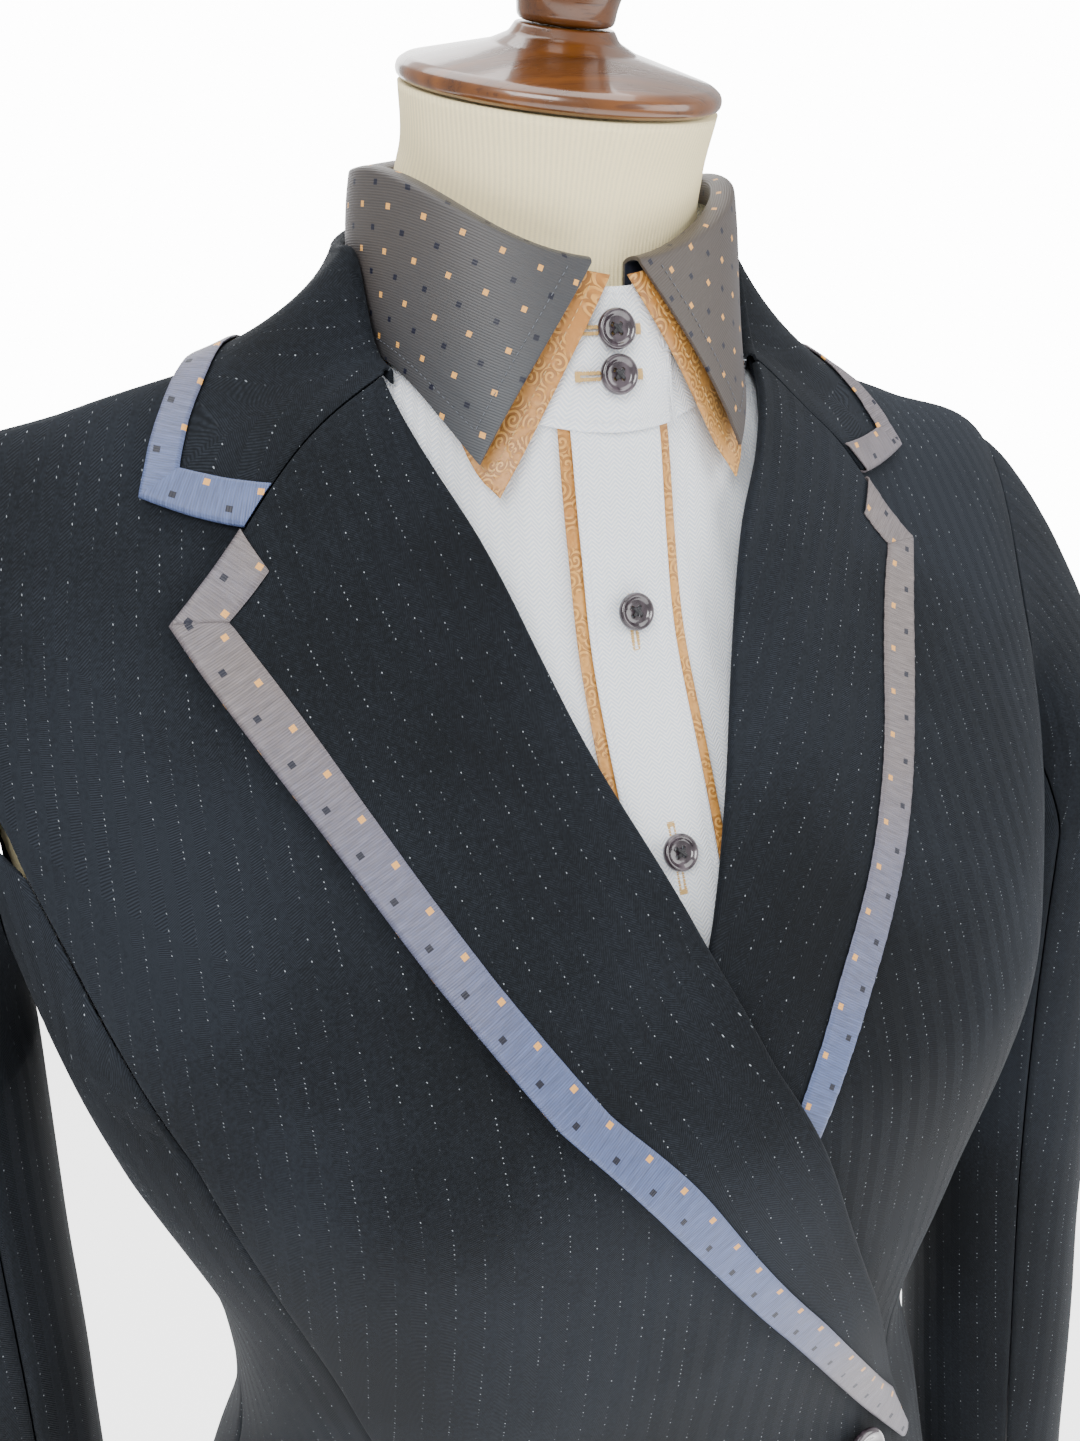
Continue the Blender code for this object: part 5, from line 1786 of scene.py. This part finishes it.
    def stand_at(self, u: float, v: float) -> Vector:
        """The collar stand: u 0 at its seam, v from the hidden left end to the lapped right.

        Args:
            u: Share up.
            v: Share round.

        Returns:
            The point, in mm.
        """
        end = 360.0 + self.stand_overlap
        angle, power = lerp(self.stand_start, end, v), self.torso.neck_power
        shift = self.torso.opening_shift(angle)
        low = self.torso.stand_seam.point(angle, power) + shift
        high = self.stand_top.point(angle, power) + shift
        from_end, cut = math.radians(end - angle) * 48, 0.0
        if from_end < self.stand_corner:
            short = self.stand_corner - from_end
            cut = 1 - math.sqrt(max(0.0, 1 - (short / self.stand_corner) ** 2))
        height = 1 - cut * self.stand_slope / (high - low).length
        out, foot = Jacket.radial(low), max(0.0, 1 - u / 0.3) ** 1.5
        lap, (spread, down) = self.stand_lap * ease((angle - 335) / 28), self.stand_foot
        return lerp(low, high, u * height) + out * (lap + spread * foot) - UP * down * foot

    def stand(self) -> None:
        """Cuts the stand and stitches round its lapped end."""
        turns = sorted({*evenly(90), *(0.93 + 0.07 * i / 20 for i in range(21))})
        Sheet("collar_stand", self.stand_at, shares(44, 3.0, (0.5, 1.2, 2.0)), turns,
              Jacket.radial, Grain(turn=90), wall=1.0).cut(COTTON, Held.FOLDED,
                                                           ["shirt_back_cloth"])
        out = lambda p: Jacket.radial(p) * 0.25  # noqa: E731
        foot = [self.stand_at(0.055, 0.80 + 0.1965 * t) for t in evenly(40)]
        side = [self.stand_at(0.055 + 0.90 * t, 0.9965) for t in evenly(20)]
        top = [self.stand_at(0.95, 0.9965 - 0.1965 * t) for t in evenly(40)]
        stitches("stand_stitching", [[(p + out(p), Jacket.radial(p)) for p in line]
                                     for line in (foot, side, top)], WHITE_THREAD, 1.6, 0.9,
                 0.2)

    def leaf_at(self, share: float, u: float, sign: int, out: float = 0.0,
                longer: float = 0.0) -> Vector:
        """A collar leaf outside its fold.

        Args:
            share: 0 at the front end, 1 at the back.
            u: 0 at the fold, 1 at the free edge.
            sign: Side of the wearer.
            out: Distance off it.
            longer: How much further the edge reaches, in mm.

        Returns:
            The point, in mm.
        """
        torso = self.torso
        top_angle, edge_angle = lerp(self.leaf_start, 180, share), lerp(self.leaf_tip, 180, share)
        top = self.leaf_top.point(sign * top_angle, torso.neck_power)
        top += torso.opening_shift(top_angle)
        edge = self.leaf_edge.point(sign * edge_angle, torso.neck_power)
        edge += torso.opening_shift(edge_angle)
        at = lerp(top, edge, u * (1 + longer / (edge - top).length))
        return at + Jacket.radial(at) * (self.leaf_bow * 4 * u * (1 - u) + out)

    def collar(self) -> None:
        """Cuts the dotted leaf and the copper under-collar, and stitches both."""
        half = sorted({*(s / 2 for s in (0, 0.006, 0.014, 0.026, 0.04)),
                       *(0.02 + 0.48 * i / 60 for i in range(61))})
        rows = half + [1 - s for s in reversed(half[:-1])]

        def leaf(u: float, v: float) -> Vector:
            """A point of the leaf; u 0 to -1 is its fold and -1 to -2 its inside."""
            sign, share = halves(v)
            if u >= 0:
                seam = 0.3 * math.exp(-(((1 - u) * 52 - 6) / 1.2) ** 2)
                return self.leaf_at(share, u, sign, -seam)
            outer = self.leaf_at(share, 0, sign)
            top_angle = lerp(self.leaf_start, 180, share)
            inner = self.stand_top.point(sign * top_angle, self.torso.neck_power)
            inner += self.torso.opening_shift(top_angle)
            inner -= Jacket.radial(inner) * self.lip_in
            inner.z = outer.z - 0.5
            if u >= -1:
                by = -u * math.pi
                return lerp(outer, inner, (1 - math.cos(by)) / 2) + UP * 1.9 * math.sin(by)
            return inner + UP * 7.0 * (u + 1)

        outward = lambda c: Jacket.radial(c) + UP * 0.3  # noqa: E731
        # Painted sheen round the leaf: bluest at the right front end.
        painted_sheens = [(0, 0.75), (0.12, 0.5), (0.3, 0.1), (0.7, 0.1), (1, 0.05)]
        columns = [-2, -1.6, -1.3, *(-1 + i / 10 for i in range(10)), *shares(62, 2.6)]
        Sheet("shirt_collar", leaf, columns, rows, outward,
              Grain(column=0.6, turn=96, shift=(3, 2)), lambda u, v: along(painted_sheens, v), 1.1,
              False).cut(LEAF, Held.FOLDED, ["collar_stand_cloth"], NAVY)

        def border(u: float, v: float) -> Vector:
            """A point of the under-collar, which shows past the leaf at the front."""
            sign, share = halves(v)
            shown = 1 - ease((share - 0.02) / 0.12)
            longer = lerp(-4.0, self.border, shown) * ease((u - 0.6) / 0.4)
            at = self.leaf_at(share, lerp(0.06, 1, u), sign, -1.9 + 2.4 * ease((u - 0.84) / 0.16),
                              longer)
            front = lerp(*self.border_front[sign], u) * (1 - ease(share / 0.16))
            return at + Vector((-sign, 0, 0)) * front

        Sheet("collar_border", border, shares(64, 3.0, (0.5, 1.2)), rows, Jacket.radial,
              Grain(turn=90), wall=0.8, even=False).cut(COPPER, Held.FOLDED,
                                                        ["collar_stand_cloth"])
        self.collar_stitching(border)

    def collar_stitching(self, border: Place) -> None:
        """Topstitches the leaf six mm in and the copper edge two mm in.

        Args:
            border: The copper under-collar's points.
        """
        def inset(share: float, u: float, sign: int) -> tuple[Vector, Vector]:
            """A point just off the leaf with its normal."""
            at = self.leaf_at(share, u, sign, 0.15)
            return at, Jacket.radial(at)

        lines = []
        for sign in (-1, 1):
            lines.append([inset(lerp(0.035, 0.028, t), lerp(0.02, 0.90, t), sign)
                          for t in evenly(20)])
            lines.append([inset(lerp(0.028, 1.0, t), 0.90, sign) for t in evenly(50)])
        stitches("leaf_stitching", lines, PALE_THREAD, 1.3, 0.8, 0.15)
        edges = []
        for start, way in ((0.012, 1), (0.988, -1)):
            run = [border(0.06 + 0.90 * t, start) for t in evenly(30)]
            run += [border(0.96, start + way * 0.05 * t) for t in evenly(12)]
            edges.append([(p + Jacket.radial(p) * 0.15, Jacket.radial(p)) for p in run])
        stitches("copper_stitching", edges, GOLD_THREAD, 1.6, 0.8, 0.2)

    def buttons(self) -> None:
        """Sews on the four small buttons over their gold buttonholes."""
        holes, front = bmesh.new(), 360.0 - self.stand_start
        spots = []
        for share in self.stand_buttons:
            v = front / (front + self.stand_overlap)
            at = self.stand_at(share, v)
            across = self.stand_at(share, v + 0.01) - self.stand_at(share, v - 0.01)
            facing = (Jacket.radial(at) + UP * 0.15).normalized()
            spots.append((at, facing, across, facing * 0.35 - across.normalized() * 2.2, 21.0))
        for level in self.placket_buttons:
            facing = self.torso.normal(level, 0, Layer.SHIRT)
            spots.append((self.placket_at(level, 0, self.placket_lift + 0.3), facing, UP,
                          facing * 0.5 - UP * 1.8, 22.0))
        for number, (at, facing, run, off, length) in enumerate(spots, 1):
            Button(5.9, 3.0).sew(f"shirt_button_{number}", at + facing * 0.9, facing)
            self.buttonhole(holes, at + off, facing, run, length)
        put("buttonholes", holes, [GOLD_THREAD])

    @staticmethod
    def buttonhole(bm: bmesh.types.BMesh, at: Vector, facing: Vector, run: Vector,
                   length: float, pitch: float = 0.42) -> None:
        """Works a buttonhole: two close rows of thread and a bar at each end.

        Args:
            bm: Mesh that gathers the thread.
            at: Its middle, in mm.
            facing: Outwards.
            run: The way it runs.
            length: Its length.
            pitch: Step from stitch to stitch.
        """
        run = (run - facing * run.dot(facing)).normalized()
        side = facing.cross(run)
        for i in range(int(length / pitch)):
            spot = at + run * (i * pitch - length / 2)
            lean = run * 0.12 * math.sin(i * 2.4)
            for s in (-1, 1):
                thread(bm, spot + side * s * 0.25, spot + side * s * 1.5 + lean, facing, 0.3)
        for end in (-1, 1):
            for i in range(4):
                spot = at + run * end * (length / 2 - 0.4 * i)
                thread(bm, spot - side * 1.8, spot + side * 1.8, facing, 0.3)

    def build(self) -> None:
        """Makes the whole shirt."""
        self.body()
        self.placket()
        self.stand()
        self.collar()
        self.buttons()


@dataclass
class Button:
    """A four-hole button with a raised rim, sewn on with a cross of thread."""

    radius: float
    thick: float
    steps: int = 40

    def sew(self, node: str, at: Vector, facing: Vector) -> None:
        """Makes the button and its thread.

        Args:
            node: The CAD node that it stands for.
            at: Middle of its back, in mm.
            facing: Outwards.
        """
        r, t = self.radius, self.thick
        dish, top = 0.60 * r, 0.62 * t
        profile = [(dish, 0.18 * t), (0.8 * r, 0), (r, 0.42 * t), (0.985 * r, 0.78 * t),
                   (0.90 * r, t), (0.80 * r, 0.96 * t), (0.66 * r, 0.70 * t), (dish, top)]
        bm = turn(rounded(profile, 0.10 * r), self.steps)
        rims = [e for e in bm.edges if e.is_boundary]
        spots = [Matrix.Rotation(math.radians(45 + 90 * i), 4, "Z") @ Vector((0.30 * r, 0, 0))
                 for i in range(4)]
        holes = []
        for height in (0.18 * t, top):
            rim = [e for e in rims if abs(e.verts[0].co.z - height * MM) < 1e-6]
            circles = []
            for spot in spots:
                made = bmesh.ops.create_circle(bm, cap_ends=False, radius=0.115 * r * MM,
                                               segments=12, matrix=Matrix.Translation(
                                                   (spot + UP * height) * MM))
                circles.append({e for v in made["verts"] for e in v.link_edges})
            bmesh.ops.triangle_fill(bm, use_beauty=True, edges=rim + list(set().union(*circles)))
            holes.append(circles)
        for low, high in zip(*holes):
            bmesh.ops.bridge_loops(bm, edges=list(low | high))
        bmesh.ops.recalc_face_normals(bm, faces=bm.faces)
        stand = Matrix.Translation(at * MM) @ facing.to_track_quat("Z", "Y").to_matrix().to_4x4()
        bmesh.ops.transform(bm, matrix=stand, verts=bm.verts)
        obj = put(f"{node}_sewn", bm, [HORN], [node])
        obj.data.set_sharp_from_angle(angle=math.radians(50))
        cross = bmesh.new()
        for first, second in ((0, 2), (1, 3)):
            for off in (-0.035, 0.035):
                side = (spots[second] - spots[first]).cross(UP).normalized() * off * r
                high = UP * (top + 0.12 * r) + UP * (0.05 * r * first)
                ends = [stand @ ((spots[k] * 1.08 + side + high) * MM) / MM
                        for k in (first, second)]
                thread(cross, ends[0], ends[1], facing, 0.085 * r)
        put(f"{node}_sewn_thread", cross, [BLACK_THREAD])


# ---------------------------------------------------------------- dress form and studio

@dataclass
class DressForm:
    """Padded torso without limbs under a turned cap, on a pole and a round base."""

    torso: Torso
    bottom: float = 11.35
    foot: float = 12.0
    neck: tuple[Ring, ...] = (
        Ring(1491.5, 1504.4, 1517.1, 48.2, -46.8, 46.0, -0.4, 2.0, 2.0),
        Ring(1473, 1490, 1502, 47.2, -37.2, 47.0, 3, 2.0, 2.0),
        Ring(1450, 1475, 1484, 49.5, -31.8, 49.0, 8, 2.0, 2.0),
        Ring(1407, 1426.5, 1437, 54.4, -40.0, 51.2, 8, 2.0, 2.0),
    )
    tilt: float = 15.6
    cap_centre: Vector = field(default_factory=lambda: Vector((0, -0.4, 1505.0)))
    cap_profile: tuple = ((0, 0), (46.5, 0), (48.6, 1.2), (49, 3), (48.4, 4.8), (46, 6.4),
                          (34, 9.4), (22, 12.4), (16.5, 15), (14.6, 18), (0, 18))
    finial_profile: tuple = ((0, 0), (14.4, 0), (14.8, 5), (17.6, 14), (21.5, 24), (23, 34),
                             (21, 44), (14, 52), (6, 55.5), (0, 56))
    base_profile: tuple = ((0, 0), (150, 0), (152, 3), (152, 14), (148, 18), (120, 22), (60, 27),
                           (24, 31), (0, 31))
    pole_radius: float = 15.0

    def padding(self) -> None:
        """Stretches the knit over the torso and neck in one closed skin."""
        count, torso = 160, self.torso
        feet = [self.bottom + s for s in (0.02, 0.06, 0.1)]
        rows = [i / 8 for i in range(-24, 0)] + torso.levels(0.0, self.bottom, 6.0) + feet

        def place(u: float, row: float) -> Vector:
            """A point of the skin: rows below 0 are the neck's rings."""
            angle = u * 360.0
            if row < 0:
                return Ring(*curve(self.neck, row + 3)).flat_point(angle)
            if row <= self.bottom:
                return torso.at(row, angle, 0.0, Layer.FORM)
            edge = torso.at(self.bottom, angle, 0.0, Layer.FORM)
            round_by = (row - self.bottom) / 0.1 * math.pi / 2
            inset = 1 - 0.1 * (1 - math.cos(round_by))
            return Vector((edge.x * inset, edge.y * inset, edge.z - self.foot * math.sin(round_by)))

        bm = bmesh.new()
        bmesh.ops.create_grid(bm, x_segments=count, y_segments=len(rows) - 1, size=0.5)
        weave = bm.loops.layers.uv.new(WEAVE)
        for face in bm.faces:
            for loop in face.loops:
                i, j = grid_place(loop.vert, count, len(rows) - 1)
                girth = 0.3 if rows[j] < 0 else lerp(0.3, 1.0, ease(rows[j] / 4))
                loop[weave].uv = (i / count * girth, j * 0.006)
        for vert in bm.verts:
            i, j = grid_place(vert, count, len(rows) - 1)
            vert.co = place((i % count) / count, rows[j]) * MM
        bmesh.ops.remove_doubles(bm, verts=bm.verts, dist=0.00001)
        bmesh.ops.holes_fill(bm, edges=[e for e in bm.edges if e.is_boundary], sides=0)
        bmesh.ops.recalc_face_normals(bm, faces=bm.faces)
        put("form_body_knit", bm, [JERSEY], ["form_body"])

    def turning(self, name: str, node: str, profile: Sequence[tuple[float, float]], at: Vector,
                tilt: float, finish: Finish, soft: float = 0.9) -> None:
        """Turns a piece on its axis and stands it in place.

        Args:
            name: The piece's name.
            node: The CAD node that it stands for.
            profile: Its (radius, height) points.
            at: Middle of its foot, in mm.
            tilt: Degrees that it tips forward.
            finish: Its finish.
            soft: Rounding of its corners.
        """
        bm = turn(rounded(profile, soft), 96)
        stand = Matrix.Translation(at * MM) @ Matrix.Rotation(math.radians(tilt), 4, "X")
        bmesh.ops.transform(bm, matrix=stand, verts=bm.verts)
        put(name, bm, [finish], [node]).data.set_sharp_from_angle(angle=math.radians(40))

    def build(self) -> None:
        """Makes the form and its stand."""
        self.padding()
        self.turning("neck_cap_turned", "neck_cap", self.cap_profile, self.cap_centre, self.tilt,
                     WOOD)
        up = Matrix.Rotation(math.radians(self.tilt), 3, "X") @ UP
        self.turning("finial_turned", "finial", self.finial_profile,
                     self.cap_centre + up * (self.cap_profile[-1][1] + 0.3), self.tilt, WOOD,
                     3.0)
        base_top = self.base_profile[-1][1] + 0.3
        length = (self.torso.ring(self.bottom, Layer.FORM).front_z - self.foot - 0.3 - base_top)
        r = self.pole_radius
        self.turning("stand_pole_tube", "stand_pole",
                     ((0, 0), (r, 0), (r, length * 0.3), (r, length * 0.7), (r, length),
                      (0, length)), Vector((0, 0, base_top)), 0, STEEL)
        self.turning("stand_base_turned", "stand_base", self.base_profile, Vector((0, 0, 0)), 0,
                     WOOD, 2.5)


@dataclass
class Studio:
    """Pale floor, soft lights and the camera at the photograph's angle."""

    spot: tuple[float, float, float] = (-0.184, -0.375, 1.451)
    azimuth: float = -25.0
    pitch: float = 19.2
    roll: float = -0.9
    focal_share: float = 1254 / 1441
    floor_reach: float = 3.0
    glow: float = 0.75
    backdrop: float = 14.0
    lights: tuple = (("key_light", (-1.6, -2.0, 2.9), 1.6, 105),
                     ("fill_light", (2.2, -1.6, 2.0), 2.0, 55),
                     ("top_light", (0.0, 0.4, 3.4), 2.2, 65),
                     ("back_light", (0.6, 2.4, 2.2), 2.0, 50))

    def camera(self) -> None:
        """Sets the camera."""
        data = bpy.data.cameras.new("studio_camera")
        data.sensor_fit, data.sensor_width, data.lens = "AUTO", 36.0, 36.0 * self.focal_share
        data.clip_start = 0.01
        obj = linked("studio_camera", data)
        a, p, r = (math.radians(x) for x in (self.azimuth, self.pitch, self.roll))
        ahead = Vector((-math.sin(a) * math.cos(p), math.cos(a) * math.cos(p), -math.sin(p)))
        right = Vector((math.cos(a), math.sin(a), 0))
        up = right.cross(ahead)
        across, high = (right * math.cos(r) + up * math.sin(r),
                        up * math.cos(r) - right * math.sin(r))
        turned = Matrix((across, high, -ahead)).transposed().to_4x4()
        obj.matrix_world = Matrix.Translation(self.spot) @ turned
        bpy.context.scene.camera = obj

    def light(self, name: str, at: tuple[float, float, float], size: float, power: float) -> None:
        """Hangs a soft square light that looks at the chest.

        Args:
            name: Its name.
            at: Where, in metres.
            size: Side of the square.
            power: Watts.
        """
        data = bpy.data.lights.new(name, "AREA")
        data.size, data.energy = size, power
        obj, place = linked(name, data), Vector(at)
        turned = (Vector((0, 0, 1.25)) - place).to_track_quat("-Z", "Y").to_matrix().to_4x4()
        obj.matrix_world = Matrix.Translation(place) @ turned

    def build(self) -> None:
        """Sets up the whole studio."""
        self.camera()
        bm = bmesh.new()
        bmesh.ops.create_circle(bm, cap_ends=True, radius=self.floor_reach, segments=96)
        mesh = bpy.data.meshes.new("studio_floor")
        bm.to_mesh(mesh)
        bm.free()
        mesh.materials.append(STUDIO.material())
        linked("studio_floor", mesh)
        for name, at, size, power in self.lights:
            self.light(name, at, size, power)
        world = bpy.context.scene.world or bpy.data.worlds.new("studio")
        bpy.context.scene.world = world
        world.use_nodes = True
        back = world.node_tree.nodes["Background"]
        g = Graph(world.node_tree)
        seen = g.node("ShaderNodeLightPath").outputs["Is Camera Ray"]
        back.inputs["Color"].default_value = (1.0, 1.0, 1.0, 1)
        g.feed(g.math("MULTIPLY_ADD", seen, self.backdrop - self.glow, self.glow),
               back.inputs["Strength"])


def main() -> None:
    """Builds the suit, its form and the studio, in order."""
    logging.basicConfig(level=logging.INFO, format="%(name)s %(message)s", stream=sys.stdout)
    torso = Torso()
    Studio().build()
    DressForm(torso).build()
    Shirt(torso).build()
    Jacket(torso).build()


if __name__ == "__main__":
    main()
